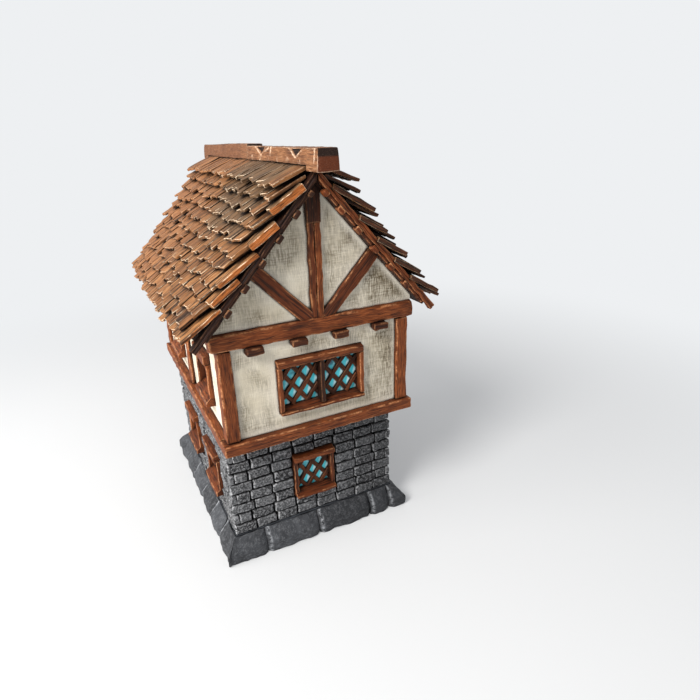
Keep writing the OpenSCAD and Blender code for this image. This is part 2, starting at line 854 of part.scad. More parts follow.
// Purlin stubs carry the barge boards: one pair starts at the king post and one at the braces
module purlin_ends() {
    color(timber) for (turn = [0, 180], side = [0, 1])
        rotate(turn) mirror([side, 0, 0]) for (i = [0:len(purlin_s) - 1])
            slope_piece(purlin_s[i] - purlin_w[i] / 2, purlin_s[i] + purlin_w[i] / 2,
                -deck_t - purlin_h[i], -deck_t, -barge_y - purlin_out, -gable_y - purlin_back[i]);
}

module barge_fillets() {
    last = len(purlin_s) - 1;
    color(timber) for (turn = [0, 180], side = [0, 1])
        rotate(turn) mirror([side, 0, 0]) for (i = [0:last])
            slope_piece(purlin_s[i] + purlin_w[i] / 2 + seam,
                i == last ? fillet_end : purlin_s[i + 1] - purlin_w[i + 1] / 2 - seam,
                -deck_t - fillet_h, -deck_t, -barge_y + 0.5, -deck_y);
}

// ---- Shingles ----

// One course on the right-hand slope: its outline is a comb of boards of uneven length
module course(row, seed, s, lift, tilt, reach) {
    front = row > 0 && row % 2 == 0 ? barge_y + verge_long : barge_y - verge_short;
    step = 2 * front / shingle_n;
    last = shingle_n - 1;
    ends = [for (i = [0:shingle_n]) -front + i * step + (i == 0 || i == shingle_n ? 0 :
        0.3 * step * (scatter(i, row + seed) - 0.5))];
    long = [for (i = [0:last]) i == 5 ? reach : reach - shingle_vary * scatter(i + 7, row + seed)];
    outline = concat(
        [[0, -front]],
        [for (i = [0:last]) each [[long[i], ends[i]], [long[i], ends[i + 1]]]],
        [[0, front]]
    );
    translate([s * cos(pitch), 0, apex - s * sin(pitch) + lift]) rotate([0, tilt, 0])
        linear_extrude(shingle_t) polygon(outline);
}

module shingle_side(seed) {
    course(0, seed, raised_s, raised_lift, raised_tilt, shingle_l);
    for (row = [1:deck_courses])
        course(row, seed, first_s + (row - 1) * course_step, 0, first_tilt + (row - 1) * tilt_step,
            row == deck_courses ? last_reach : shingle_l);
}

module left_shingles() {
    color(roof_wood) mirror([1, 0, 0]) shingle_side(40);
}
module right_shingles() {
    color(roof_wood) shingle_side(0);
}

// ---- Ridge ----

// A board that stands on the apex of the decks, between the two slopes of shingles, and carries the caps
module ridge_board() {
    foot = apex - board_half * slope;
    color(timber) translate([0, deck_y, 0]) rotate([90, 0, 0]) linear_extrude(2 * deck_y)
        polygon([
            [0, apex], [board_half, foot], [board_half, cap_foot],
            [-board_half, cap_foot], [-board_half, foot]
        ]);
}

// The beam under the apex, between the two gables
module ridge_beam() {
    half = beam_half;
    half_y = gable_y - plaster_t;
    low = apex - beam_drop;
    color(timber) translate([0, half_y, 0]) rotate([90, 0, 0]) linear_extrude(2 * half_y)
        polygon([
            [-half, low], [half, low], [half, deck_under(half)],
            [0, deck_under(0)], [-half, deck_under(half)]
        ]);
}

// A cap from y0 to y1, drawn by its section
module cap(y0, y1, under) {
    top = cap_foot + ridge_h;
    translate([0, y1, 0]) rotate([90, 0, 0]) linear_extrude(y1 - y0)
        polygon(concat(under, [[-cap_half_top, top], [cap_half_top, top]]));
}

// The rear cap rises towards its front end, where it stands above the front cap
module cap_wedge(y0, y1) {
    top = cap_foot + ridge_h;
    rotate([90, 0, 90]) translate([0, 0, -cap_half_top]) linear_extrude(2 * cap_half_top)
        polygon([[y0, top], [y1, top], [y0, top + cap_rise]]);
}

// Over the roof the caps lie on the ridge board and follow the raised shingles down.
// Their ends, which stand out in front of the roof, reach further down.
module ridge_caps() {
    reach = barge_y + ridge_out;
    half = ridge_w / 2;
    over_roof = [[half, cap_foot - cap_side_drop], [board_half, cap_foot],
        [-board_half, cap_foot], [-half, cap_foot - cap_side_drop]];
    in_front = [[half, cap_foot - cap_end_drop], [-half, cap_foot - cap_end_drop]];
    color(roof_wood) {
        cap(-reach, cap_seam, over_roof);
        cap(-reach, -barge_y, in_front);
        cap(cap_seam, reach, over_roof);
        cap_wedge(cap_seam, reach);
        cap(barge_y, reach, in_front);
    }
}

// Strips under the roof that drop inside the plaster of the side walls
module roof_locators() {
    outer = inner_x - fit;
    color(floor_wood) for (side = [0, 1], y = [-strip_y - strip_l, strip_y])
        mirror([side, 0, 0]) translate([outer - strip_w, y, wall_top - strip_drop])
            cube([strip_w, strip_l, strip_drop + strip_up]);
}

base_plate();
plinth_slabs();
front_stone_wall();
back_stone_wall();
left_stone_wall();
right_stone_wall();
front_stones();
back_stones();
left_stones();
right_stones();
ground_floor_boards();
ground_lintels();
ground_sills();
ground_jambs();
ground_lattices();
ground_panes();
door_frame();
door_step();
door_pintles();
door_leaf();
door_straps();
door_handle();
upper_floor();
upper_floor_boards();
sill_beams();
corner_posts();
side_posts();
front_plaster();
back_plaster();
left_plaster();
right_plaster();
upper_lintels();
upper_sills();
upper_jambs();
upper_lattices();
upper_panes();
joist_ends();
floor_locators();
tie_beams();
roof_plates();
gable_panels();
king_posts();
gable_braces();
left_roof_deck();
right_roof_deck();
purlin_ends();
barge_boards();
barge_fillets();
left_shingles();
right_shingles();
ridge_board();
ridge_beam();
ridge_caps();
roof_locators();
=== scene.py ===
# %% [markdown]
# # A half-timbered house for the gaming table
# The real object is a cast or printed scenery house, about 13 cm tall, painted with acrylics:
# dark washes in the joints and a nearly dry brush of pale paint over the edges.
# The solids, their sizes and their joints come from the frame. This lesson dresses them with
# worn stones, split shingles, carved beams and painted finishes, without moving anything.

import math
from functools import cache, partial

import bpy
import numpy as np
from mathutils import Matrix, Vector


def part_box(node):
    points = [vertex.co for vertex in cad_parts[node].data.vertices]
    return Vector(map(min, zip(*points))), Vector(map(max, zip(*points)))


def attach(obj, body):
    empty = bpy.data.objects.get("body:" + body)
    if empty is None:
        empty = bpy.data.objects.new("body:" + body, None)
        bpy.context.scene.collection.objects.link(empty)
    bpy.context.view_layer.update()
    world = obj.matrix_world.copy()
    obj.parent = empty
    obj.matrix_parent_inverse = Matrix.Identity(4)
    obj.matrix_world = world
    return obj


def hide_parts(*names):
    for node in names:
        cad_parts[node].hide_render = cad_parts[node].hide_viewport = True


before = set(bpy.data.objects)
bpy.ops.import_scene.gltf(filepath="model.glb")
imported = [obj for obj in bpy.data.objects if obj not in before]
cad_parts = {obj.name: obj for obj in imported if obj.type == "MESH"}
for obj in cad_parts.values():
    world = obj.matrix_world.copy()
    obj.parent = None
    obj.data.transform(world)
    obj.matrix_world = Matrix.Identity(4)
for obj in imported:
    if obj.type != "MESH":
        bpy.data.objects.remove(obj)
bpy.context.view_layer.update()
MM = 0.001

# %% [markdown]
# ## Measuring the frame
# Every new piece takes its place from a CAD solid. A node can hold many solids, such as the
# ninety stones of one wall, so a small search splits its mesh into the parts that share no
# corner. Sizes are read in millimetres, because that is how such a house is measured.

# %% Split a node into its solids
def solids(node):
    """The corner points of each separate solid of a CAD node, in millimetres."""
    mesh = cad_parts[node].data
    points = np.empty(len(mesh.vertices) * 3, np.float32)
    mesh.vertices.foreach_get("co", points)
    points = points.reshape(-1, 3) / MM
    _, same = np.unique(np.round(points, 2), axis=0, return_inverse=True)
    same = same.ravel()
    group = np.arange(same.max() + 1)

    def root(i):
        while group[i] != i:
            group[i] = group[group[i]]
            i = group[i]
        return i

    for face in mesh.polygons:
        first = root(same[face.vertices[0]])
        for corner in face.vertices[1:]:
            group[root(same[corner])] = first
    roots = np.array([root(i) for i in same])
    return [points[roots == r] for r in sorted(set(roots.tolist()))]


def span(points):
    """Lowest and highest corner of some points."""
    return points.min(0), points.max(0)


def box_mm(node):
    low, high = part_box(node)
    return np.array(low) / MM, np.array(high) / MM


wall_stones = {side: solids(f"{side}_stones") for side in ("front", "back", "left", "right")}
print("stones on each wall:", {side: len(found) for side, found in wall_stones.items()})

# %% [markdown]
# ## One rounded block for everything
# Stones, beams, shingles and planks are all blocks with worn edges. A bevel modifier would
# round them, but it can't tell the paint where the edges are. So the block is made by hand: a
# lattice of points on a box, pulled onto rounded corners. Each point remembers whether it is on
# an edge, and the finishes use that to lay dry-brushed paint there.

# %% Points and faces of a lattice on a box
@cache
def shell(nx, ny, nz):
    """Index points and quads of the surface of a box cut into nx by ny by nz."""
    counts, found, quads = (nx, ny, nz), {}, []
    for axis in range(3):
        u, v = (axis + 1) % 3, (axis + 2) % 3
        for side in (0, counts[axis]):
            for a in range(counts[u]):
                for b in range(counts[v]):
                    quad = []
                    for da, db in ((0, 0), (1, 0), (1, 1), (0, 1)):
                        key = [0, 0, 0]
                        key[axis], key[u], key[v] = side, a + da, b + db
                        quad.append(found.setdefault(tuple(key), len(found)))
                    quads.append(quad if side else quad[::-1])
    return np.array(list(found)), np.array(quads)


def rounded(size, radius, steps):
    """A box round the origin with rounded edges: points, faces and which points are on an edge."""
    half = np.array(size, float) / 2
    radii = np.minimum(radius, half * 0.9)
    marks = []
    for h, r, cuts in zip(half, radii, steps):
        inner = np.linspace(-h + r, h - r, max(1, cuts) + 1)
        marks.append(np.concatenate([[-h, -h + 0.3 * r], inner, [h - 0.3 * r, h]]))
    lattice, quads = shell(*(len(m) - 1 for m in marks))
    points = np.stack([marks[axis][lattice[:, axis]] for axis in range(3)], 1)
    core = np.clip(points, -(half - radii), half - radii)
    out = (points - core) / radii
    reach = np.maximum(np.linalg.norm(out, axis=1, keepdims=True), 1e-9)
    edge = np.count_nonzero(np.abs(out) > 1e-6, axis=1) > 1
    return core + out / reach * radii, quads, edge.astype(float)


points, quads, edge = rounded((7, 2, 4), 0.7, (3, 1, 2))
print("one stone:", len(points), "points,", len(quads), "faces,", int(edge.sum()), "on edges")

# %% [markdown]
# ## Handwork
# Nothing on such a model is straight. Waves of a few lengths, added together, bend a block by a
# tenth of a millimetre or so. The waves come from a numbered random draw, so the house is the
# same each time it is built.

# %% Waves that bend a block
def wobble(points, size, reach, seed):
    """How far each point moves: up to about size, in waves about reach long."""
    draw = np.random.default_rng(seed)
    moved = np.zeros_like(points)
    for octave in range(3):
        for _ in range(3):
            wave = draw.normal(size=3)
            wave *= 2 * math.pi / (reach * 0.5**octave * np.linalg.norm(wave))
            lean = draw.normal(size=3) * size * 0.6**octave * 0.6
            moved += np.sin(points @ wave + draw.uniform(0, 2 * math.pi))[:, None] * lean
    return moved


moved = wobble(np.array([[1.0, 2.0, 3.0]]), 0.1, 4.0, 1)
print("a wave moves one point by", np.round(moved[0], 3), "mm")

# %% [markdown]
# ## A heap of blocks
# A wall of ninety stones is one piece to the frame, so blocks are collected in a heap and made
# into one mesh at the end. Three values travel with each point: where it lies along the grain of
# its own block, whether it is on an edge, and a tone that differs from block to block. A tone
# under zero is a painted shade, for timbers that lie in shadow. A block only bends where it is
# cut, so long sides get more cuts.

# %% Collect blocks and make them one mesh
def cuts(length, each, least=1):
    """How many cuts a side of that length gets for each to be about as long as asked."""
    return max(least, int(length / each))


class Heap:
    def __init__(self, seed):
        self.seed, self.count, self.total = seed, 0, 0
        self.kept = {key: [] for key in ("points", "quads", "grain", "edge", "tint")}
        self.draw = np.random.default_rng(seed)

    def lay(self, size, place, turned=None, radius=0.4, steps=(1, 1, 1), along=0, rough=0.06,
            reach=4.0, shape=None, tint=None, after=None, spread=90, mark=None):
        """Adds a block of that size at a place. shape bends it in its own axes, after in the
        frame's, and mark(points, edge) can change where the pale paint goes."""
        points, quads, edge = rounded(size, radius, steps)
        if mark is not None:
            edge = mark(points, edge)
        order = [along, (along + 1) % 3, (along + 2) % 3]
        grain = points[:, order] + self.draw.uniform(-1, 1, 3) * spread
        if shape is not None:
            points = shape(points)
        points = points + wobble(points, rough, reach, self.seed * 1000 + self.count)
        if turned is not None:
            points = points @ np.asarray(turned).T
        points = points + np.asarray(place, float)
        if after is not None:
            points = after(points)
        # A tone drawn at random, or the one given; a tone under zero is a painted shade.
        shade = self.draw.uniform(0, 1) if tint is None else tint
        parts = (points, quads + self.total, grain, edge, np.full(len(points), shade))
        for known, part in zip(self.kept.values(), parts):
            known.append(part)
        self.total += len(points)
        self.count += 1

    def make(self, name, finish, body, slot, *nodes):
        """One mesh on that body, which stands for the CAD nodes named."""
        points, quads, *values = (np.concatenate(parts) for parts in self.kept.values())
        mesh = bpy.data.meshes.new(name)
        mesh.from_pydata((points * MM).tolist(), [], quads.tolist())
        mesh.shade_smooth()
        for key, value in zip(("grain", "edge", "tint"), values):
            kind, field = ("FLOAT_VECTOR", "vector") if value.ndim == 2 else ("FLOAT", "value")
            layer = mesh.attributes.new(key, kind, "POINT")
            layer.data.foreach_set(field, value.astype(np.float32).ravel())
        piece = bpy.data.objects.new(name, mesh)
        bpy.context.collection.objects.link(piece)
        mesh.materials.append(finish)
        piece.modifiers.new("flat faces stay flat", "WEIGHTED_NORMAL")
        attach(piece, body)
        if nodes:
            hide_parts(*nodes)
        print(f"{name}: {self.count} blocks, {self.total} points")


print("cuts along a stone, a beam and a ridge:", cuts(7, 1.3, 2), cuts(40, 2.2), cuts(55, 0.22))

# %% [markdown]
# ## Mixing paint
# A painted finish is built from the same few steps: a base colour that varies, a wash that
# darkens the recesses, and pale paint on the edges. A few small classes keep those steps short.
# A wire carries a number or a colour that differs from spot to spot, and a sum or a product of
# wires adds the shader node that works it out. Colours are given as they look on a screen, from
# 0 to 255, and turned into light values.

# %% Short ways to add nodes
def paint_colour(red, green, blue):
    def light(value):
        value /= 255
        return value / 12.92 if value <= 0.04045 else ((value + 0.055) / 1.055) ** 2.4

    return (light(red), light(green), light(blue), 1.0)


class Wire:
    """An output of a node, to be added, multiplied or joined to other nodes."""

    def __init__(self, nodes, socket):
        self.nodes, self.socket = nodes, socket

    def __add__(self, other):
        return self.nodes.math("ADD", self, other)

    def __mul__(self, other):
        return self.nodes.math("MULTIPLY", self, other)

    def __sub__(self, other):
        return self.nodes.math("SUBTRACT", self, other)

    def __rsub__(self, other):
        return self.nodes.math("SUBTRACT", other, self)

    __radd__, __rmul__ = __add__, __mul__

    def ease(self, low, high):
        """0 at low, 1 at high and smooth between, also where low is the higher number."""
        values = {"Value": self, "From Min": low, "From Max": high}
        return self.nodes.node("MapRange", values, interpolation_type="SMOOTHSTEP")


class Nodes:
    """A tree of shader nodes in the making."""

    def __init__(self, tree):
        self.tree = tree
        tree.nodes.clear()

    def node(self, kind, values, output=0, **settings):
        """Adds a node, with numbers or wires on its inputs, and gives the wire of an output."""
        made = self.tree.nodes.new("ShaderNode" + kind)
        for key, value in settings.items():
            setattr(made, key, value)
        for key, value in values.items():
            if isinstance(value, Wire):
                self.tree.links.new(value.socket, made.inputs[key])
            else:
                made.inputs[key].default_value = value
        return Wire(self, made.outputs[output]) if made.outputs else None

    def math(self, operation, a, b=0.0, clamp=False):
        return self.node("Math", {0: a, 1: b}, operation=operation, use_clamp=clamp)

    def blend(self, amount, a, b):
        """Colour a turned into colour b by an amount from 0 to 1."""
        a, b = (colour if isinstance(colour, Wire) else paint_colour(*colour) for colour in (a, b))
        return self.node("Mix", {0: amount, 6: a, 7: b}, 2, data_type="RGBA")


print("dark stone paint as light:", [round(v, 3) for v in paint_colour(60, 62, 66)])

# %% [markdown]
# ## What a brush can find
# A wash runs into the corners, and a dry brush meets only what stands out. Painted images wrapped
# round each piece could hold that, but here the nodes find it on the surface itself: how deep a
# corner is, which way a spot faces, where it lies in the frame, and what its block carries. So
# nothing has to be unwrapped, and the paint still fits when a size changes.

# %% What a finish can ask about a spot
TO_FRONT, TO_BACK = (0.0, -1.0, 0.0), (0.0, 1.0, 0.0)


class Paint(Nodes):
    """A finish in the making."""

    def __init__(self, name):
        self.material = bpy.data.materials.new(name)
        self.material.use_nodes = True
        super().__init__(self.material.node_tree)

    def value(self, name, output="Fac"):
        return self.node("Attribute", {}, output, attribute_name=name)

    def in_place(self):
        """Place in the frame, in millimetres."""
        return self.stretch(self.node("TexCoord", {}, "Object"), (1 / MM, 1 / MM, 1 / MM))

    def length(self, axis):
        """Place in the frame along one axis."""
        return self.node("SeparateXYZ", {0: self.in_place()}, axis)

    def block(self, placed):
        """Grain, tint and edge of a block, or what stands for them on a solid of the frame."""
        if placed:
            return self.in_place(), 0.5, 0.0
        return self.value("grain", "Vector"), self.value("tint"), self.value("edge")

    def stretch(self, where, scale):
        return self.node("VectorMath", {0: where, 1: scale}, operation="MULTIPLY")

    def noise(self, where, scale, detail=3.0, rough=0.55):
        values = {"Vector": where, "Scale": scale, "Detail": detail, "Roughness": rough}
        return self.node("TexNoise", values, "Fac")

    def recess(self, distance):
        """1 in the open and 0 deep in a corner."""
        return self.node("AmbientOcclusion", {"Distance": distance * MM}, "AO", samples=6)

    def facing(self, axis):
        """How much the surface faces along an axis of the frame, from -1 to 1."""
        values = {0: self.node("NewGeometry", {}, "Normal"), 1: axis}
        return self.node("VectorMath", values, "Value", operation="DOT_PRODUCT")

    def shade_to_the_right(self, start, end, most):
        """Painted shade: 0 left of start, most right of end, and a third of it where it doesn't
        face the front.
        """
        front = self.facing(TO_FRONT).ease(0.2, 0.8) * 0.67 + 0.33
        return self.length("X").ease(start, end) * (front * most)

    def finish(self, colour, roughness, height, depth, specular, coat=0.0):
        """Ends the finish: bumps of height 0 to 1 stand out by depth, in millimetres."""
        bump = self.node("Bump", {"Height": height, "Distance": depth * MM, "Strength": 1.0})
        values = {"Base Color": colour, "Roughness": roughness, "Normal": bump,
                  "Specular IOR Level": specular, "Coat Weight": coat, "Coat Roughness": 0.1}
        self.node("OutputMaterial", {"Surface": self.node("BsdfPrincipled", values)})
        return self.material


print("a finish can ask for:", [name for name in vars(Paint) if not name.startswith("_")])

# %% [markdown]
# ## Wood paint
# The beams are red-brown with orange streaks, and the shingles tan with grey-brown patches. Both
# are one recipe with other colours. Noise that is stretched along the grain gives the cut lines,
# a second, rounder noise gives patches, and a wash darkens what lies deep. Options add what only
# some pieces have: wide grooves, a grey patch, front faces of their own colour, brighter on the
# left slope and a painted shade on the right, and end grain that is nearly black at the top. A
# tone under zero paints shade on the timbers that lie in shadow.

# %% The recipe for painted wood
GREY_PATCH, PATCH_REACH, PATCH_CORE = (-7.0, -25.0, 116.0), 34.0, 11.0
DARKEST_ABOVE = 123.9
REAR_FROM, REAR_TO = -22.0, 30.0


def dim(colour, much):
    return tuple(value * much for value in colour)


def wood_paint(name, dark, middle, light, pale, grey=None, worn=0.6, wash=(24, 12, 8),
               placed=False, line_depth=0.22, front=None, every_front=False, rear=None,
               ends=None, groove=None, washed=(0.28, 0.94)):
    """front colours the front of boards with a tone over 1, rear is mixed in towards the back,
    ends darkens the end faces and whatever has an edge value under 0, and a tone under 0 is a
    painted shade."""
    paint = Paint(name)
    where, tint, edge = paint.block(placed)
    lines = paint.noise(paint.stretch(where, (0.09, 2.3, 2.3)), 1.0, 4.0, 0.62)
    if groove:
        wide = paint.noise(paint.stretch(where, (0.04, groove, groove)), 1.0, 1.0)
        lines = lines * 0.5 + wide * 0.5
    fine = paint.noise(paint.stretch(where, (0.3, 5.5, 5.5)), 1.0, 3.0, 0.6)
    patch = paint.noise(where, 0.16) * 0.65 + tint * 0.35
    colour = paint.blend(lines.ease(0.36, 0.58), dark, middle)
    colour = paint.blend(patch.ease(0.36, 0.66) * fine.ease(0.36, 0.66), colour, light)
    if grey:
        here = paint.in_place()
        far = paint.node("VectorMath", {0: here, 1: GREY_PATCH}, "Value", operation="DISTANCE")
        spot = far.ease(PATCH_REACH, PATCH_CORE) + tint * 0.3 + paint.noise(here, 0.12)
        colour = paint.blend(spot.ease(1.0, 1.5) * 0.85, colour, grey)
    if front:
        faced = paint.facing(TO_FRONT)
        if not every_front:
            faced = faced * (tint * 0.5)
        faced = faced.ease(0.7, 0.9)
        streak = fine.ease(0.34, 0.58) * lines.ease(0.36, 0.52)
        colour = paint.blend(faced, colour, dim(front, 0.45))
        colour = paint.blend(faced * streak, colour, front)
    brushed_less = 1.0
    if rear:
        back = paint.length("Y").ease(REAR_FROM, REAR_TO)
        colour = paint.blend(back * 0.55, colour, rear)
        brushed_less = 1.0 - back * 0.75
    if ends:
        faced = paint.math("ABSOLUTE", paint.facing(TO_BACK)).ease(0.7, 0.9)
        amount = paint.math("MAXIMUM", faced, edge * -1.0, clamp=True)
        # End faces are darker, nearly black at the top.
        dark_part = paint.length("Z").ease(DARKEST_ABOVE - 0.3, DARKEST_ABOVE + 0.3)
        colour = paint.blend(amount, colour, paint.blend(dark_part, ends, dim(ends, 0.35)))
        edge = paint.math("MAXIMUM", edge, 0.0)
    crack = fine.ease(0.42, 0.3) * 0.7
    if groove:
        crack = paint.math("MAXIMUM", crack, wide.ease(0.47, 0.36) * 0.85)
    colour = paint.blend(crack, colour, dim(dark, 0.55))
    # A tone under zero is a painted shade: darker, with less pale paint on the edges.
    if not placed:
        shade = tint.ease(-0.2, -0.9)
        colour = paint.blend(shade, colour, dim(dark, 0.5))
        brushed_less = (1.0 - shade * 0.85) * brushed_less
    broken = paint.noise(where, 0.3, 2.0).ease(0.4, 0.58) * paint.noise(where, 2.6).ease(0.3, 0.56)
    brushed = edge * broken * worn * brushed_less
    crest = fine.ease(0.58, 0.72) * 0.16
    colour = paint.blend(paint.math("MAXIMUM", brushed, crest), colour, pale)
    # A wash in the recesses; with the roof's wider range it is also a painted shade under the board
    # tips.
    colour = paint.blend(paint.recess(1.8).ease(*washed), wash, colour)
    return paint.finish(colour, 0.6, lines * 0.8 + fine * 0.3, line_depth, 0.2)


print("the grey patch fades out", PATCH_REACH, "mm from", GREY_PATCH)

# %% [markdown]
# ## The wood paints
# Each wood has four paints: the dark of its cuts, a middle, a light for its patches and the pale
# of its worn edges. The right slope has the paints of the left one, dimmed as a painted shade, and
# the fronts of its boards are a dark painted shade. A block carries its own grain, but a solid
# that keeps the frame's shape has none, so some woods are mixed a second time with a grain that
# follows their place.

# %% Mix the wood paints
TIMBER = ((42, 19, 9), (100, 48, 22), (146, 78, 38), (218, 154, 106))
BARS = ((30, 14, 7), (72, 36, 18), (112, 60, 31), (164, 110, 72))
RIDGE = ((78, 45, 26), (124, 79, 49), (160, 114, 78), (236, 202, 172))
DECK_WOOD = ((26, 12, 8), (52, 26, 15), (80, 44, 26), (120, 76, 50))
FLOOR = ((60, 40, 26), (104, 76, 50), (134, 100, 68), (176, 146, 110))
LEFT_SLOPE = ((64, 37, 19), (138, 91, 53), (193, 137, 86), (252, 228, 196))
# The right slope: the left slope's paints, dimmed as a painted shade.
RIGHT_SLOPE_SHADED = tuple(dim(colour, 0.85) for colour in LEFT_SLOPE)
# On the roof the wash reaches wider: part wash, part painted shade under the board tips.
slope_set = {"grey": (104, 80, 56), "wash": (18, 9, 5), "rear": (172, 116, 76), "groove": 1.25,
             "line_depth": 0.3, "washed": (0.36, 1.0)}
timber = wood_paint("timber paint", *TIMBER)
bar_timber = wood_paint("timber paint on thin bars", *BARS, worn=0.4)
timber_placed = wood_paint("timber paint on flat parts", *TIMBER, placed=True)
shingle = wood_paint("shingle paint, left slope", *LEFT_SLOPE, front=(192, 110, 52), worn=1.0,
                     **slope_set)
# The right slope's board fronts, all of them, are a dark painted shade.
shingle_right_shaded = wood_paint("shingle paint, right slope", *RIGHT_SLOPE_SHADED, front=(88, 48, 26),
                           every_front=True, worn=0.3, **slope_set)
ridge_paint = wood_paint("ridge paint", *RIDGE, worn=0.9, rear=(104, 64, 40), ends=(94, 45, 22))
roof_placed = wood_paint("roof paint on flat parts", *DECK_WOOD, placed=True)
floor_wood = wood_paint("floor paint", *FLOOR)
floor_placed = wood_paint("floor paint on flat parts", *FLOOR, placed=True)
print("wood finishes:", [m.name for m in bpy.data.materials if "paint" in m.name])

# %% [markdown]
# ## Stone paint
# The stones were painted almost black, then brushed with grey until only the joints stayed
# dark. Coarse grit catches the brush as specks, so a fine noise does two jobs: it lifts the
# surface, and it shows where the grey stuck. A wash darkens the joints. The stones also get a
# painted shade that grows towards the right, and a painted shadow on the top course, right under
# the jetty.

# %% The recipe for painted stone
# The dark of the wash in the joints, and of the painted shade and shadow.
STONE_WASH_AND_SHADE = (14, 14, 16)
JETTY, JETTY_SHADE = box_mm("sill_beams")[0][2], 6.5


def stone_paint(name, dark, middle, pale, grit, worn=0.7, placed=False, depth=0.35, fine=1.0):
    paint = Paint(name)
    where, tint, edge = paint.block(placed)
    lumps = paint.noise(where, 0.9 * fine, 3.0, 0.6)
    specks = paint.noise(where, 3.2 * fine, 3.0, 0.65)
    shade = paint.noise(where, 0.35) * 0.7 + tint * 0.35
    colour = paint.blend(shade.ease(0.3, 0.75), dark, middle)
    height = lumps * 0.5 + specks * 0.5
    stuck = height.ease(0.47, 0.62) * grit
    brushed = edge * lumps.ease(0.38, 0.58) * worn
    colour = paint.blend(paint.math("MAXIMUM", stuck, brushed), colour, pale)
    # Painted shade, growing towards the right.
    colour = paint.blend(paint.shade_to_the_right(-4.0, 26.0, 0.42), colour, STONE_WASH_AND_SHADE)
    # Painted shadow on the top course, under the jetty.
    under_jetty = paint.length("Z").ease(JETTY - JETTY_SHADE, JETTY) * 0.75
    colour = paint.blend(under_jetty, colour, STONE_WASH_AND_SHADE)
    colour = paint.blend(paint.recess(1.4).ease(0.2, 0.85), STONE_WASH_AND_SHADE, colour)
    return paint.finish(colour, 0.72, height, depth, 0.25)


stone = stone_paint("stone paint", (34, 34, 36), (84, 85, 87), (186, 187, 190), 0.72, worn=0.75,
                    depth=0.55, fine=1.6)
slab = stone_paint("slab paint", (46, 47, 50), (70, 72, 76), (186, 189, 194), 0.14, worn=0.8,
                   depth=0.25)
joint = stone_paint("joint paint", (14, 14, 15), (26, 26, 28), (60, 60, 62), 0.15, placed=True)
slab_placed = stone_paint("slab paint on flat parts", (48, 51, 56), (70, 74, 80), (130, 134, 140),
                          0.12, placed=True, depth=0.2)
print("stone finishes:", [m.name for m in (stone, slab, joint, slab_placed)])

# %% [markdown]
# ## Plaster paint
# The plaster is off-white, and the brush left fine crossing lines in it, more of them upright
# than level. Two noises, stretched both ways, cross like the bristles did. Brown dirt lies in
# patches, and the depth of a corner places the rest: a brown darkening a few millimetres from a
# beam, a clean pale rim beside it, and a thin dark line where the wash ran in. The right-hand part
# is darker with a painted shade.

# %% The recipe for plaster
def plaster_paint(name):
    paint = Paint(name)
    where = paint.in_place()
    bent = paint.node("TexNoise", {"Vector": where, "Scale": 0.18, "Detail": 2.0}, "Color")
    bent = paint.stretch(bent, (1.4, 1.4, 1.4))
    where = paint.node("VectorMath", {0: where, 1: bent}, operation="ADD")
    upright = paint.noise(paint.stretch(where, (3.6, 3.6, 0.24)), 1.0, 2.0, 0.6)
    level = paint.noise(paint.stretch(where, (0.24, 0.24, 3.6)), 1.0, 2.0, 0.6)
    cloud = paint.noise(where, 0.11, 4.0, 0.6)
    patch = paint.noise(paint.stretch(where, (1.0, 1.0, 0.8)), 0.12, 1.0)
    scratch = (upright * 0.66 + level * 0.34).ease(0.36, 0.62) * 0.7 + 0.3
    near = paint.recess(7.0).ease(1.0, 0.45)
    # Dirt in patches, a darkening near the beams, and painted shade towards the right.
    dirt_and_shade = patch.ease(0.34, 0.74) * 0.66 + near * 0.5 + paint.shade_to_the_right(6.0, 26.0, 0.7)
    rim = paint.recess(2.6).ease(0.96, 0.6) * 0.7
    amount = paint.math("MULTIPLY", scratch, (dirt_and_shade + 0.1) * (1.0 - rim), clamp=True)
    colour = paint.blend(cloud.ease(0.3, 0.7), (240, 232, 214), (216, 206, 184))
    colour = paint.blend(amount, colour, (98, 86, 66))
    colour = paint.blend(rim * 0.75, colour, (250, 244, 230))
    stain = paint.recess(0.8).ease(0.82, 0.45) * 0.92
    colour = paint.blend(stain, colour, (52, 36, 24))
    return paint.finish(colour, 0.8, upright * 0.5 + level * 0.5, 0.22, 0.2)


plaster = plaster_paint("plaster paint")
print("plaster paint:", len(plaster.node_tree.nodes), "shader nodes")

# %% [markdown]
# ## Window paint and black iron
# Each diamond between the bars is painted by itself: turquoise, with a painted highlight, a nearly
# white gleam, at its lower right, and a dark rim that is the bars' painted shade. The grain values
# of a pane run from its middle outwards, so the part behind the decimal point says where in its
# diamond a spot lies. The whole pane gets lighter towards the lower right, with the frame's
# painted shade on its upper left and along its edge, and varnish makes it look like glass. The
# iron is black paint with a grey dry brush.

# %% The recipes for panes and iron
HALF_ACROSS, HALF_UP = 2.32, 3.05


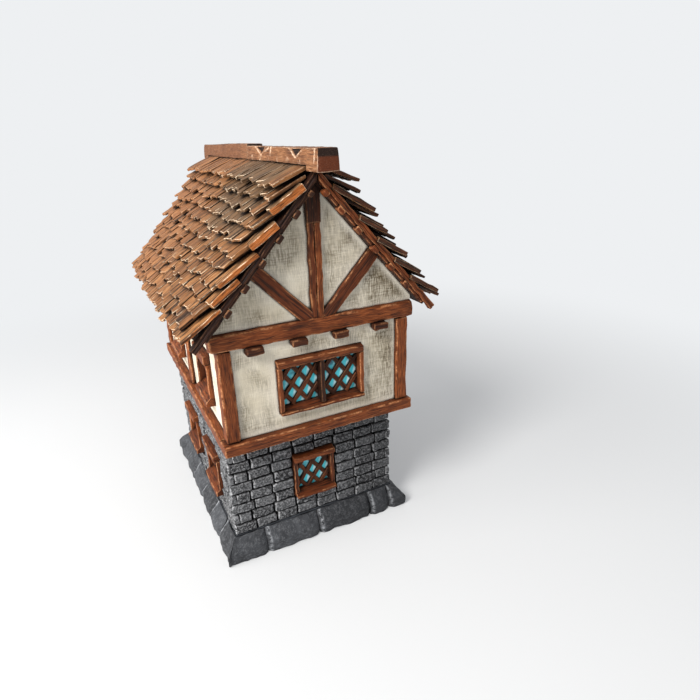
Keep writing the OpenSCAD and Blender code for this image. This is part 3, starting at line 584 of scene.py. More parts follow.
def pane_paint(name):
    paint = Paint(name)
    x, z = (paint.node("SeparateXYZ", {0: paint.value("grain", "Vector")}, axis) for axis in "XZ")
    across = paint.math("DIVIDE", x, -2 * HALF_ACROSS)
    up = paint.math("DIVIDE", z, 2 * HALF_UP)
    falling, rising = (paint.math("FRACT", part + 10.5) for part in (across - up, across + up))
    # A dark rim round each diamond, the bars' painted shade.
    rim = [paint.math("ABSOLUTE", part - 0.5) for part in (falling, rising)]
    rim = paint.math("MAXIMUM", *rim).ease(0.26, 0.35)
    cloud = paint.noise(paint.in_place(), 0.5, 2.0)
    # Clouds, and the frame's painted shade, which leaves the lower right lighter.
    amount = (x * -0.5 - z) * 0.07 + cloud
    colour = paint.blend(amount.ease(-0.1, 0.45), (10, 84, 108), (72, 224, 242))
    # A painted highlight: a nearly white gleam at the lower right of each diamond.
    gleam = (falling * 0.65 + rising * 0.35).ease(0.52, 0.68) * amount.ease(0.1, 0.5)
    colour = paint.blend(gleam, colour, (214, 246, 250))
    colour = paint.blend(rim, colour, (14, 34, 38))
    # Painted shade along the frame.
    colour = paint.blend(paint.recess(1.6).ease(0.15, 0.75), (8, 20, 24), colour)
    return paint.finish(colour, 0.3, cloud, 0.1, 0.4, coat=0.3)


pane = pane_paint("pane paint")
iron = stone_paint("iron paint", (14, 14, 14), (34, 33, 33), (120, 116, 112), 0.12, placed=True,
                   depth=0.12)
print("finishes in all:", len(bpy.data.materials))

# %% [markdown]
# ## Which way a wall faces
# Windows sit on all four walls. A piece on a wall is described by three lengths, along the wall,
# outwards and up, and one turn puts it on its wall. The wall is found from where the solid lies.

# %% Put a block on a wall
def turn(axis, degrees):
    return np.array(Matrix.Rotation(math.radians(degrees), 3, axis))


WALLS = {side: turn("Z", degrees)
         for side, degrees in (("front", 180), ("back", 0), ("left", 90), ("right", -90))}
STOREYS = {"ground": ("ground_floor", 31.0), "upper": ("upper_storey", 40.0)}
END_WALLS, LONG_WALLS = 0, math.inf  # for a solid that can only be on one of either kind


def wall_of(middle, end_wall):
    """front, back, left or right, for a place on a storey whose end walls start at end_wall."""
    if abs(middle[1]) > end_wall:
        return "front" if middle[1] < 0 else "back"
    return "left" if middle[0] < 0 else "right"


def on_wall(points, end_wall):
    """Turn, size and middle of a solid, in its wall's own lengths: along, outwards, up."""
    low, high = span(points)
    middle, size = (low + high) / 2, high - low
    wall = wall_of(middle, end_wall)
    if wall in ("left", "right"):
        size = size[[1, 0, 2]]
    return WALLS[wall], size, middle


for storey, (body, end_wall) in STOREYS.items():
    found = [wall_of(sum(span(s)) / 2, end_wall) for s in solids(f"{storey}_lintels")]
    print(f"{storey} windows on:", found)

# %% [markdown]
# ## The stones
# On the model each stone is a low, rounded lump, and no two are the same size or depth. The
# blocks are laid over the CAD stones one for one, a little larger or smaller, tipped by a degree
# or two, with thick round edges. The dark joints are the wall panels of the frame behind them.
# The left end of every stone is the palest.

# %% Lay the stones of four walls
STONE_EDGE, SHORT_STONE, CORNER_FILL = 0.5, 4.0, 0.5


def palest_left_ends(size, points, edge):
    """The left end, where a block's own length ends, gets the most pale paint."""
    return edge * np.where(points[:, 0] > size[0] / 2 - STONE_EDGE, 2.0, 0.65)


for number, (side, found) in enumerate(wall_stones.items()):
    heap = Heap(11 + number)
    on_end = side in ("front", "back")
    for solid in found:
        turned, size, middle = on_wall(solid, END_WALLS if on_end else LONG_WALLS)
        outwards = turned @ np.array([0.0, 1.0, 0.0])
        grow = heap.draw.uniform(-0.12, 0.3, 3) * (1, 1, 0.6) - (0.1, 0, 0.2)
        if on_end and size[0] < SHORT_STONE:
            size = size + (CORNER_FILL, 0, 0)
            middle = middle + (math.copysign(CORNER_FILL / 2, middle[0]), 0, 0)
        tip = turn("Z", heap.draw.uniform(-2.5, 2.5)) @ turn("X", heap.draw.uniform(-3, 3))
        place = middle + outwards * heap.draw.uniform(-0.05, 0.3)
        heap.lay(size + grow, place, turned @ tip, radius=STONE_EDGE, rough=0.1, reach=2.6,
                 steps=(cuts(size[0], 1.3, 2), 1, 2), mark=partial(palest_left_ends, size))
    heap.make(f"{side}_wall_stones", stone, "ground_floor", "stone", f"{side}_stones")

# %% [markdown]
# ## The foundation slabs
# Long slabs run round the foot of the walls, with a sloping top, rounded joints and a chipped
# outer edge. Each block starts as a plain box. Its top is then sheared down towards the outside,
# and slow waves eat into the edge that stands on the table. Beside each joint the brush left a
# pale mark.

# %% Shape the slabs
wall_high = box_mm("base_plate")[1]
slab_high = box_mm("plinth_slabs")[1]
plinth_top, slab_out = slab_high[2], slab_high[1] - wall_high[1]
EDGE_HEIGHT, HIP_OVERLAP = 4.3, 0.3
JOINT_FILL, JOINT_REACH, JOINT_IN, JOINT_DOWN = 0.15, 0.95, 0.24, 0.1


def at_joint(along, start, end, half):
    """1 at a joint with the next slab and 0 away from it. A mitred corner isn't a joint."""
    near = np.zeros(len(along))
    for place, corner in ((start, start < -half), (end, end > half)):
        if not corner:
            near = np.maximum(near, np.exp(-((along - place) / JOINT_REACH) ** 2))
    return near


def slab_shape(start, end, half, size, points):
    """Turns a box into the slab from start to end of a wall, cut aslant where it meets a corner."""
    part, out, up = (points / size + 0.5).T
    out = out * slab_out
    first = np.where(start < -half, -half - out - HIP_OVERLAP, start)
    last = np.where(end > half, half + out + HIP_OVERLAP, end)
    along = first + part * (last - first)
    top = size[2] - (size[2] - EDGE_HEIGHT) * (out / slab_out) ** 1.1
    chip = 0.24 * np.sin(along * 0.5 + end) + 0.1 * np.sin(along * 1.7 + start)
    joint = at_joint(along, start, end, half)
    out = out * (1 - JOINT_IN * joint) + (np.minimum(chip, 0.1) - 0.1) * out / slab_out
    top = top * (1 - JOINT_DOWN * joint * (out > 0.5))
    along, out = along - (start + end) / 2, out - slab_out / 2
    return np.stack([along, out, up * top - size[2] / 2], 1)


def brushed_joints(start, end, half, size, wide, points, edge):
    """Pale paint on the side of each joint that a brush drawn along the wall would hit."""
    along = (start + end) / 2 + points[:, 0]
    near = np.exp(-((along - end + 1.0) / wide) ** 2) * (end < half)
    low = np.clip(1 - (points[:, 2] / size[2] + 0.5) * 2, 0, 1) * edge * 0.4
    return np.maximum(near, low)


print(f"slabs: {plinth_top:.1f} mm high at the wall, {slab_out:.1f} mm out")

# %% [markdown]
# ## Round the corners
# The slabs of the frame tell how long each one is. One that turns a corner is laid as two legs,
# cut on the slant where they meet, because a single bent block would stretch its paint.

# %% Lay the slabs
def slab_legs(low, high):
    """A slab that turns a corner has a leg on each wall."""
    reaches = [[abs(v) > slab_high[a] - 0.5 for v in (low[a], high[a])] for a in (0, 1)]
    if not (any(reaches[0]) and any(reaches[1])):
        yield (0 if any(reaches[1]) else 1), low, high
        return
    outer = [low[a] if reaches[a][0] else high[a] for a in (0, 1)]
    for axis in (0, 1):
        other, leg_low, leg_high = 1 - axis, low.copy(), high.copy()
        inner = math.copysign(wall_high[other], outer[other])
        leg_low[other], leg_high[other] = sorted((inner, outer[other]))
        yield axis, leg_low, leg_high


heap = Heap(31)
for solid in solids("plinth_slabs"):
    for axis, low, high in slab_legs(*span(solid)):
        middle, half = (low + high) / 2, wall_high[axis]
        turned = WALLS[wall_of(middle, LONG_WALLS if axis else END_WALLS)]
        ends = sorted(v * turned[axis, 0] for v in (low[axis], high[axis]))
        start, end = (v + way * JOINT_FILL * (abs(v) < half) for way, v in zip((-1, 1), ends))
        size = np.array([end - start, slab_out, plinth_top])
        middle[axis] = (start + end) / 2 * turned[axis, 0]
        middle[2] = plinth_top / 2
        heap.lay(size, middle, turned, radius=(0.12, 0.9, 0.9), rough=0.12, reach=7,
                 steps=(cuts(size[0], 0.45, 6), 5, 6),
                 shape=partial(slab_shape, start, end, half, size),
                 mark=partial(brushed_joints, start, end, half, size, 0.8 if axis else 0.45))
heap.make("foundation_edge", slab, "ground_floor", "slab", "plinth_slabs")

# %% [markdown]
# ## Beams and posts
# The beams are cut by hand, with edges that wander and a few notches. A post is a block laid
# along the solid of the frame, with cuts close together so that the waves can bend it. The
# direction of the grain follows the longest side. The joist ends sit in the shadow of the tie
# beam, so they get a painted shade.

# %% Cover the beams
BEAM_CUT, JOIST_SHADE = 2.2, -0.55


def lay_beam(heap, low, high, radius=0.5, rough=0.09, **more):
    size = high - low
    along = int(np.argmax(size))
    steps = [2, 2, 2]
    steps[along] = cuts(size[along], BEAM_CUT)
    heap.lay(size, (low + high) / 2, radius=radius, steps=steps, along=along, rough=rough, **more)


def beams(name, finish, body, slot, seed, node, **more):
    heap = Heap(seed)
    for solid in solids(node):
        lay_beam(heap, *span(solid), **more)
    heap.make(name, finish, body, slot, node)


sill_low, sill_high = box_mm("sill_beams")
SILL_DEPTH = 5.0
heap = Heap(41)
for side in (-1, 1):
    for axis in (0, 1):
        low, high = sill_low.copy(), sill_high.copy()
        if side < 0:
            high[axis] = low[axis] + SILL_DEPTH
        else:
            low[axis] = high[axis] - SILL_DEPTH
        if axis == 0:
            low[1], high[1] = low[1] + SILL_DEPTH, high[1] - SILL_DEPTH
        lay_beam(heap, low, high, 0.55)
heap.make("sill_beams_carved", timber, "upper_storey", "timber", "sill_beams")
beams("corner_posts_carved", timber, "upper_storey", "timber", 42, "corner_posts", radius=0.6)
beams("side_posts_carved", timber, "upper_storey", "timber", 43, "side_posts")
# The joist ends get a painted shade, for the shadow of the tie beam.
beams("joist_ends_carved", timber, "upper_storey", "timber", 44, "joist_ends",
      tint=JOIST_SHADE)
beams("tie_beams_carved", timber, "roof", "timber", 45, "tie_beams", radius=0.7)

# %% [markdown]
# ## The gables
# Each gable has a king post with a groove down its middle, as if it were two planks, and two
# braces. A collar is lapped over the head of the post, darker with a painted shade, for the
# shadow of the overhang above it. The blocks are turned with the braces, and what would stand
# through the deck is pressed back under it, which is how a carpenter would cut it.

# %% King posts and braces
PITCH, DECK = 48.5, 2.2
COS_PITCH, SIN_PITCH = math.cos(math.radians(PITCH)), math.sin(math.radians(PITCH))
apex = box_mm("left_roof_deck")[1][2]
deck_drop, slope = DECK / COS_PITCH, math.tan(math.radians(PITCH))
king_low, king_high = box_mm("king_posts")
tie_top = box_mm("tie_beams")[1][2]
KING_DEPTH, KING_PLANK, KING_OFF = 1.5, 1.9, 0.98
COLLAR_FOOT, COLLAR_WIDTH, COLLAR_OUT, COLLAR_SHADE = 107.1, 4.1, 0.25, -0.6
BRACE_DEPTH, BRACE_WIDTH, BRACE_LENGTH, BRACE_ANGLE = 1.35, 4.2, 26.0, 46.8
BRACE_FOOT, BRACE_SUNK = 2.9, 0.6


def under_deck(points):
    """Presses points that stand through the underside of the deck back under it."""
    underside = apex - deck_drop - slope * np.abs(points[:, 0])
    points[:, 2] = np.minimum(points[:, 2], underside + 0.1)
    return points


kings, braces = Heap(51), Heap(52)
height, collar = king_high[2] - king_low[2], king_high[2] - COLLAR_FOOT
half_x, half_z = (f(math.radians(BRACE_ANGLE)) * BRACE_LENGTH / 2 for f in (math.cos, math.sin))
for end in (-1, 1):
    half_turn = turn("Z", 0 if end < 0 else 180)
    face = end * (king_high[1] - KING_DEPTH / 2)
    for offset in (-KING_OFF, KING_OFF):
        place = (-end * offset, face, king_low[2] + height / 2)
        kings.lay((KING_PLANK, KING_DEPTH, height), place, half_turn, radius=0.45,
                  steps=(2, 1, 16), along=2, rough=0.1, reach=7, after=under_deck)
    # The collar gets a painted shade, for the shadow of the overhang above it.
    place = (0, face + end * COLLAR_OUT, king_high[2] - collar / 2)
    kings.lay((COLLAR_WIDTH, KING_DEPTH, collar), place, half_turn, steps=(3, 1, 6), along=2,
              rough=0.1, reach=7, after=under_deck, tint=COLLAR_SHADE)
    face = end * (king_high[1] - KING_DEPTH + BRACE_DEPTH / 2)
    for side in (-1, 1):
        place = (side * (BRACE_FOOT + half_x - BRACE_SUNK), face, tie_top + half_z - BRACE_SUNK)
        braces.lay((BRACE_LENGTH, BRACE_DEPTH, BRACE_WIDTH), place, turn("Y", -side * BRACE_ANGLE),
                   radius=0.5, steps=(10, 1, 2), rough=0.1, reach=6, after=under_deck)
kings.make("king_posts_carved", timber, "roof", "timber", "king_posts")
braces.make("gable_braces_carved", timber, "roof", "timber", "gable_braces")

# %% [markdown]
# ## The edge of the roof
# A barge board runs down each slope, with a smaller fillet below it and the ends of the purlins
# between. All of them lie in the slope, so their blocks are measured in it: one length runs down
# from the apex, one stands up from the deck and one runs along the ridge. Those of the left slope
# lie in the shadow of the planks above, so they get a painted shade.

# %% Blocks in the slope of the roof
# The tone of a painted shade, for pieces in the shadow of what stands over them.
IN_SHADE = -0.7
GROOVE_HALF, GROOVE_DEEP = 0.2, 0.3


def on_its_side(side, points):
    """Keeps the blocks of one slope from crossing those of the other at the apex."""
    points[:, 0] = side * np.maximum(side * points[:, 0], 0.04)
    return points


def grooved(size, down, points):
    """Cuts a groove along a board, that far below its upper edge."""
    groove = np.exp(-(((size[2] / 2 - points[:, 2] - down) / GROOVE_HALF) ** 2))
    points[:, 1] *= 1 - GROOVE_DEEP * groove
    return points


def highlighted_upper_half(points, edge):
    """Pale paint on the edges, strongest on the upper half of an end, a painted highlight from
    above.
    """
    return edge * np.where(points[:, 2] > 0, 2.2, 0.6)


def slope_blocks(name, seed, node, top, bottom, deep, proud=0.0, groove=None, across=2, **more):
    """Blocks down the slopes: from top to bottom above the deck, deep inwards from their face."""
    heap = Heap(seed)
    for solid in solids(node):
        side, end = (1 if solid[:, axis].mean() > 0 else -1 for axis in (0, 1))
        turned = turn("Y", PITCH) if side > 0 else turn("Z", 180) @ turn("Y", PITCH)
        low, high = span((solid - np.array([0, 0, apex])) @ turned)
        outer = end * side * (np.abs(solid[:, 1]).max() + proud)
        low[1], high[1] = sorted((outer, outer - end * side * deep))
        low[2], high[2] = bottom, top
        size = high - low
        # Pieces of the left slope get a painted shade, for the shadow of the planks.
        heap.lay(size, (low + high) / 2 @ turned.T + (0, 0, apex), turned,
                 steps=(cuts(size[0], BEAM_CUT), 1, across), after=partial(on_its_side, side),
                 shape=partial(grooved, size, groove) if groove else None,
                 tint=IN_SHADE if side < 0 else None, **more)
    heap.make(name, timber, "roof", "timber", node)


slope_blocks("barge_boards_carved", 61, "barge_boards", top=0.0, bottom=-1.8, deep=2.0,
             groove=0.75, across=9, radius=0.3, rough=0.08)
slope_blocks("fillets_carved", 62, "barge_fillets", top=-1.7, bottom=-2.6, deep=1.3,
             radius=0.3, rough=0.07)
slope_blocks("purlin_ends_carved", 63, "purlin_ends", top=-1.75, bottom=-3.3, deep=2.2,
             proud=0.25, radius=0.45, rough=0.07, mark=highlighted_upper_half)

# %% [markdown]
# ## The shingles
# Each slope has twelve courses of split boards, twenty-three to a course. No two end level, and
# every second course stands out over the gable. The frame has each course as one solid, so the
# boards are laid again here, one by one, and the frame's own numbers say where.

# %% Where each board lies
eave_half, barge_face = box_mm("barge_boards")[1][:2]
SHINGLES, COURSES = 23, 11  # and one raised course above those eleven
RAISED_DOWN, FIRST_DOWN, LAST_DOWN = 1.5, 3.4, eave_half / COS_PITCH - 9.9
RAISED_TILT, FIRST_TILT, LAST_TILT = PITCH - 26, PITCH - 23, PITCH - 15
LONGEST, LAST_LONGEST, VARY, THICK = 12.1, 11.28, 2.1, 1.0
STANDS_OUT, LIES_BACK, UNCUT = 0.6, 1.3, 5


def scatter(a, b):
    """The same uneven numbers as in the frame's source, from 0 to 1."""
    value = abs(math.sin(math.radians(a * 127.1 + b * 311.7)) * 43758.5)
    return value - math.floor(value)


def courses(seed):
    """Down the slope, lift, tilt, front edge and the boards' lengths, course by course."""
    for row in range(COURSES + 1):
        step = max(row - 1, 0) / (COURSES - 1)
        down = FIRST_DOWN + step * (LAST_DOWN - FIRST_DOWN)
        tilt = FIRST_TILT + step * (LAST_TILT - FIRST_TILT)
        lift = 0.0
        if row == 0:
            down, tilt = RAISED_DOWN, RAISED_TILT
            lift = THICK / math.cos(math.radians(FIRST_TILT)) + 0.15
        front = barge_face + (STANDS_OUT if row > 0 and row % 2 == 0 else -LIES_BACK)
        longest = LAST_LONGEST if row == COURSES else LONGEST
        lengths = [longest - (0 if i == UNCUT else VARY * scatter(i + 7, row + seed))
                   for i in range(SHINGLES)]
        yield row, down, lift, tilt, front, lengths


for row, down, lift, tilt, front, lengths in courses(0):
    if row in (0, 1, COURSES):
        print(f"course {row}: {down:.1f} mm down, tilted {tilt:.1f} degrees, to {front:.1f} mm")

# %% [markdown]
# ## Split boards
# The lower end of a board is slanted, chipped and thin, and the brush caught it more than the
# sides. The thick planks at the ends of the courses were fitted one by one, so they are listed,
# where all others follow a rule.

# %% Shape the boards
def cut_ends(slant, length, width, points):
    """Slants the lower end of a board, chips it and thins it a little."""
    lower = np.clip(points[:, 0] / (length / 2), 0, 1) ** 2
    notch = np.sin(points[:, 1] * 2.9 + slant * 9) * 0.25
    points[:, 0] += lower * (points[:, 1] / width * slant + notch)
    points[:, 2] *= 1 - 0.2 * lower
    return points


def tip_first(length, points, edge):
    """The brush caught the lower ends more than the sides."""
    return edge * np.where(points[:, 0] > length / 2 - 0.6, 1.0, 0.35)


# Each end plank by slope and course: how far down it starts, how much longer and steeper it is,
# and how thick
PLANKS = {
    -1: {2: (-1.8, 0.4, 6, 2.0), 4: (1.2, -2.8, 6, 2.0), 6: (1.4, 1.2, 2, 1.4),
         8: (0.9, -1.9, 4, 1.9), 10: (1, 1, 0, 1.1)},
    1: {2: (-1.6, 3.4, 4, 1.4), 4: (1.2, -0.9, 1, 1.4), 6: (1.2, 0, 0, 1.4),
        8: (0.9, -1.9, -1, 1.4), 10: (0.4, -0.5, -3, 1.4)},
}
PLANK_LOW, PLANK_TINT = 0.9, 2.0
print("end planks on each gable:", sum(len(by_course) for by_course in PLANKS.values()))

# %% [markdown]
# ## Course by course
# A board is placed by its upper end, on the deck or just above it, and lies from there along its
# own lean. Between two boards is a gap, and each has a small tilt of its own. The left slope is
# laid like the right one and then turned round.

# %% Lay the boards
def lay_shingles(name, side, seed, node, finish):
    heap = Heap(71 + side)
    down_slope = np.array([COS_PITCH, 0.0, -SIN_PITCH])
    for row, down, lift, tilt, front, lengths in courses(seed):
        start = np.array([down * COS_PITCH, 0.0, apex - down * SIN_PITCH + lift])
        step = 2 * front / SHINGLES
        for i, length in enumerate(lengths):
            at_end = i in (0, SHINGLES - 1)
            plank = PLANKS[side].get(row) if at_end else None
            width = step - heap.draw.uniform(0.2, 0.55)
            y = -front + (i + 0.5) * step + heap.draw.uniform(-0.1, 0.1)
            if at_end:
                y = math.copysign(front - width / 2, y)
            starts, longer, steeper, thick = plank or (
                0, heap.draw.uniform(-0.3, 0.3), heap.draw.uniform(-1, 0.8),
                THICK + heap.draw.uniform(-0.12, 0.12))
            length += longer
            lean = turn("Y", tilt + steeper) @ turn("Z", heap.draw.uniform(-1.4, 1.4))
            turned = lean @ turn("X", heap.draw.uniform(-1.8, 1.8))
            up = thick / 2 + heap.draw.uniform(0, 0.14) - (PLANK_LOW if plank else 0)
            middle = start + down_slope * starts + (0, y, 0) + turned @ (length / 2, 0, up)
            if side < 0:
                turned, middle = turn("Z", 180) @ turned, middle * (-1, 1, 1)
            slant = heap.draw.uniform(-1.4, 1.4)
            heap.lay((length, width, thick), middle, turned, radius=0.2, steps=(5, 3, 1),
                     shape=partial(cut_ends, slant, length, width),
                     mark=None if plank else partial(tip_first, length),
                     tint=PLANK_TINT if plank else None)
    heap.make(name, finish, "roof", "roof_wood", node)


lay_shingles("left_slope_shingles", -1, 40, "left_shingles", shingle)
lay_shingles("right_slope_shingles", 1, 0, "right_shingles", shingle_right_shaded)

# %% [markdown]
# ## The ridge
# The ridge is two heavy timbers, end to end. The sides of the front one are carved with raised
# ribs, two sunk triangles, a hatched panel and small teeth. Carving could be painted on, but it
# has to catch the light. So it is written down as a height: how far each spot stands in or out.

# %% What is carved, in lengths along the ridge and heights
ridge_low, ridge_high = box_mm("ridge_caps")
CAP_SEAM, CAP_RISE, TOP_NARROWER, BOARD_HALF = -2.0, 0.7, 0.5, 0.95
cap_top, ridge_end = ridge_high[2] - CAP_RISE, ridge_high[1]
board_top = box_mm("ridge_board")[1][2]
SADDLE = math.tan(math.radians(RAISED_TILT))
RIBS = [((-10.2, 125.9), (-16.9, 123.1)), ((-23.4, 125.4), (-17.5, 123.8)),
        ((-24.9, 125.6), (-24.5, 123.2)), ((-39.0, 125.7), (-43.7, 123.3)),
        ((-43.7, 123.3), (-48.9, 125.8)), ((-55.6, 125.8), (-55.6, 120.5))]
TRIANGLES = [(-11.4, -16.9, -19.9, 124.2), (-40.4, -43.9, -47.8, 123.8)]
TEETH = [-7.5, -15.0, -22.5, -30.6, -37.9, -46.0]
PANEL, HATCH_STEP, HATCH_DEEP = (-37.6, -26.4, 123.4, 125.5), 0.9, 0.14
RIB_WIDTH, RIB_OUT, SUNK, DARK_TOP = 0.32, 0.22, 0.45, 1.7


def line_distance(y, z, start, end):
    (y0, z0), (y1, z1) = start, end
    along = ((y - y0) * (y1 - y0) + (z - z0) * (z1 - z0)) / ((y1 - y0) ** 2 + (z1 - z0) ** 2)
    along = np.clip(along, 0, 1)
    return np.hypot(y - y0 - along * (y1 - y0), z - z0 - along * (z1 - z0))


def in_triangle(y, z, left, tip, right, foot):
    """1 inside a triangle that hangs from the top edge, with its tip at foot."""
    fall = (cap_top - z) / (cap_top - foot)
    inside = (y < left + (tip - left) * fall) & (y > right + (tip - right) * fall)
    return (inside & (z < cap_top - 0.3)).astype(float)


def carving(y, z):
    """How far a side stands out, where it is brushed pale, and where a triangle is sunk."""
    ribs = np.zeros(len(y))
    for start, end in RIBS:
        ribs = np.maximum(ribs, np.clip(1.4 - line_distance(y, z, start, end) / RIB_WIDTH, 0, 1))
    for tooth in TEETH:
        near = np.hypot((y - tooth) / 0.9, (z - (board_top - 0.1)) / 0.8)
        ribs = np.maximum(ribs, np.clip(1.3 - near, 0, 1) * (near > 0.45))
    sunk = sum(in_triangle(y, z, *triangle) for triangle in TRIANGLES)
    panel = (y > PANEL[0]) & (y < PANEL[1]) & (z > PANEL[2]) & (z < PANEL[3])
    hatch = panel * (0.5 + 0.5 * np.sin(y * 2 * math.pi / HATCH_STEP)) * HATCH_DEEP
    return ribs * RIB_OUT - np.clip(sunk * (1 - ribs), 0, 1) * SUNK - hatch, ribs, sunk


print("carved:", len(RIBS), "ribs,", len(TEETH), "teeth and", len(TRIANGLES), "triangles a side")

# %% [markdown]
# ## Two timbers, end to end
# The rear timber rises towards the joint, and both sit astride the ridge board. Their sides are
# cut into a fine lattice, and the heights of the carving press its points in or out. The middle
# of a triangle and the top of the front end are black, and the ribs are brushed pale.

# %% Carve the ridge timbers
def ridge_timber(heap, y0, y1, rise0, rise1, carved):
    size = np.array([ridge_high[0] - ridge_low[0], y1 - y0, cap_top - ridge_low[2]])
    middle = np.array([0, (y0 + y1) / 2, (cap_top + ridge_low[2]) / 2])

    def placed(points):
        """Along the ridge and up, in the frame, and whether a point is on one of the sides."""
        y = points[:, 1] + middle[1]
        up = np.clip(points[:, 2] / size[2] + 0.5, 0, 1)
        foot = board_top - np.maximum(np.abs(points[:, 0]) - BOARD_HALF, 0) * SADDLE
        foot = np.where(np.abs(y) > barge_face, ridge_low[2], foot)
        top = cap_top + rise0 + (rise1 - rise0) * (y - y0) / (y1 - y0)
        return y, foot + up * (top - foot), np.abs(points[:, 0]) > size[0] / 2 - 0.15

    def bend(points):
        y, z, side = placed(points)
        x = points[:, 0] * (1 - (z - ridge_low[2]) / size[2] * TOP_NARROWER / (size[0] / 2))
        if carved:
            x = x + np.sign(x) * side * carving(y, z)[0]
        return np.stack([x, points[:, 1], z - middle[2]], 1)

    def mark(points, edge):
        if not carved:
            return edge * 0.5
        y, z, side = placed(points)
        _, ribs, sunk = carving(y, z)
        # The top of the front end is darkest.
        dark_top = (y < y0 + 0.2) & (z > cap_top - DARK_TOP) & ~side
        return np.maximum(edge * 0.6, ribs * side) - 2 * np.maximum(sunk * side, dark_top)

    heap.lay(size, middle, radius=0.3, steps=(4, cuts(y1 - y0, 0.22), 18), along=1, reach=9,
             shape=bend, tint=0.6, mark=mark)


heap = Heap(81)
ridge_timber(heap, -ridge_end, CAP_SEAM - 0.05, 0, 0, True)
ridge_timber(heap, CAP_SEAM + 0.05, ridge_end, CAP_RISE, 0, False)
heap.make("ridge_timbers", ridge_paint, "roof", "roof_wood", "ridge_caps")

# %% [markdown]
# ## Windows
# A window is a hood, a sloping sill, two or three uprights, a lattice and the painted panes. The
# hood and sill are blocks whose outer edge is pressed down. The upright between two leaves stands
# back in shade, so it gets a painted shade as dark as the bars.

# %% Hoods, sills and uprights
def outer_drop(size, reach, low, points):
    """Presses the top of a block down towards its outer face, over that reach, by low at most."""
    outward = np.clip((points[:, 1] - size[1] / 2 + reach) / reach, 0, 1)
    points[:, 2] -= outward * (points[:, 2] / size[2] + 0.5) * low
    return points


def frame_parts(name, body, end_wall, seed, node, reach=0.0, drop=0.0, radius=0.4):
    heap = Heap(seed)
    for solid in solids(node):
        turned, size, middle = on_wall(solid, end_wall)
        along = 2 if size[2] > size[0] else 0
        steps = [2, 2, 2]
        steps[along] = cuts(size[along], 1.8, 2)
        # The upright between two leaves gets a painted shade.
        between = body == "upper_storey" and along == 2 and abs(middle[0]) < 1
        heap.lay(size, middle, turned, radius=radius, steps=steps, along=along, rough=0.08,
                 shape=partial(outer_drop, size, reach, drop * size[2]) if reach else None,
                 tint=IN_SHADE if between else None)
    heap.make(name, timber, body, "timber", node)


for seed, (storey, (body, end_wall)) in zip((91, 95), STOREYS.items()):
    frame_parts(f"{storey}_hoods_carved", body, end_wall, seed, f"{storey}_lintels",
                reach=2.0, drop=0.25)
    frame_parts(f"{storey}_sills_carved", body, end_wall, seed + 1, f"{storey}_sills",
                reach=3.0, drop=0.66)
    frame_parts(f"{storey}_uprights_carved", body, end_wall, seed + 2, f"{storey}_jambs",
                radius=0.35)

# %% [markdown]
# ## Lattices and panes
# The lattice could be a pattern in the paint of the pane, but bars of its own throw shadows on
# it. One set runs up to the right and the other, laid a little in front, up to the left. Each bar
# is a line across the opening, clipped by its four sides.

# %% Cross the bars
BAR_WIDTH, BAR_THICK, BAR_OUT, BAR_CROSSES = 1.25, 0.75, 0.25, 0.22
SHORTEST_BAR, BAR_TUCKED, LINES = 0.8, 0.5, range(-9, 10, 2)


def clipped(normal, offset, half):
    """The ends of the line normal . p = offset in a rectangle of those half sizes, or None."""
    ends = []
    for axis in (0, 1):
        other = 1 - axis
        for at in (-half[axis], half[axis]):
            value = (offset - normal[axis] * at) / normal[other]
            if abs(value) <= half[other] + 1e-6:
                ends.append((at, value) if axis == 0 else (value, at))
    ends.sort()
    return (ends[0], ends[-1]) if len(ends) > 1 else None


def lattice_bars(heap, turned, size, middle):
    for family in (1, -1):
        for line in LINES:
            ends = clipped((1 / HALF_ACROSS, family / HALF_UP), line, (size[0] / 2, size[2] / 2))
            if ends is None:
                continue
            (x0, z0), (x1, z1) = ends
            length = math.hypot(x1 - x0, z1 - z0)
            if length < SHORTEST_BAR:
                continue
            lean = turn("Y", -math.degrees(math.atan2(z1 - z0, x1 - x0)))
            out = size[1] / 2 + BAR_OUT + (BAR_CROSSES if family > 0 else 0)
            place = middle + turned @ np.array([(x0 + x1) / 2, out, (z0 + z1) / 2])
            heap.lay((length + BAR_TUCKED, BAR_THICK, BAR_WIDTH), place, turned @ lean, radius=0.28,
                     steps=(cuts(length, 1.5, 2), 1, 1), rough=0.07, reach=3)


for seed, (storey, (body, end_wall)) in zip((101, 105), STOREYS.items()):
    bars, glass = Heap(seed), Heap(seed + 1)
    for solid in solids(f"{storey}_panes"):
        turned, size, middle = on_wall(solid, end_wall)
        lattice_bars(bars, turned, size, middle)
        glass.lay(size, middle, turned, radius=0.1, steps=(8, 1, 8), rough=0.03, reach=3, spread=0)
    bars.make(f"{storey}_lattice_bars", bar_timber, body, "timber", f"{storey}_lattices")
    glass.make(f"{storey}_painted_panes", pane, body, "pane", f"{storey}_panes")

# %% [markdown]
# ## The door
# The door hangs on two iron straps, on the side that a visitor finds last. Its planks are blocks
# like the beams, and the frame round it has a heavy head. The straps, the pins and the ring
# keep the shapes of the frame, because they turn about each other, and only get softer edges.

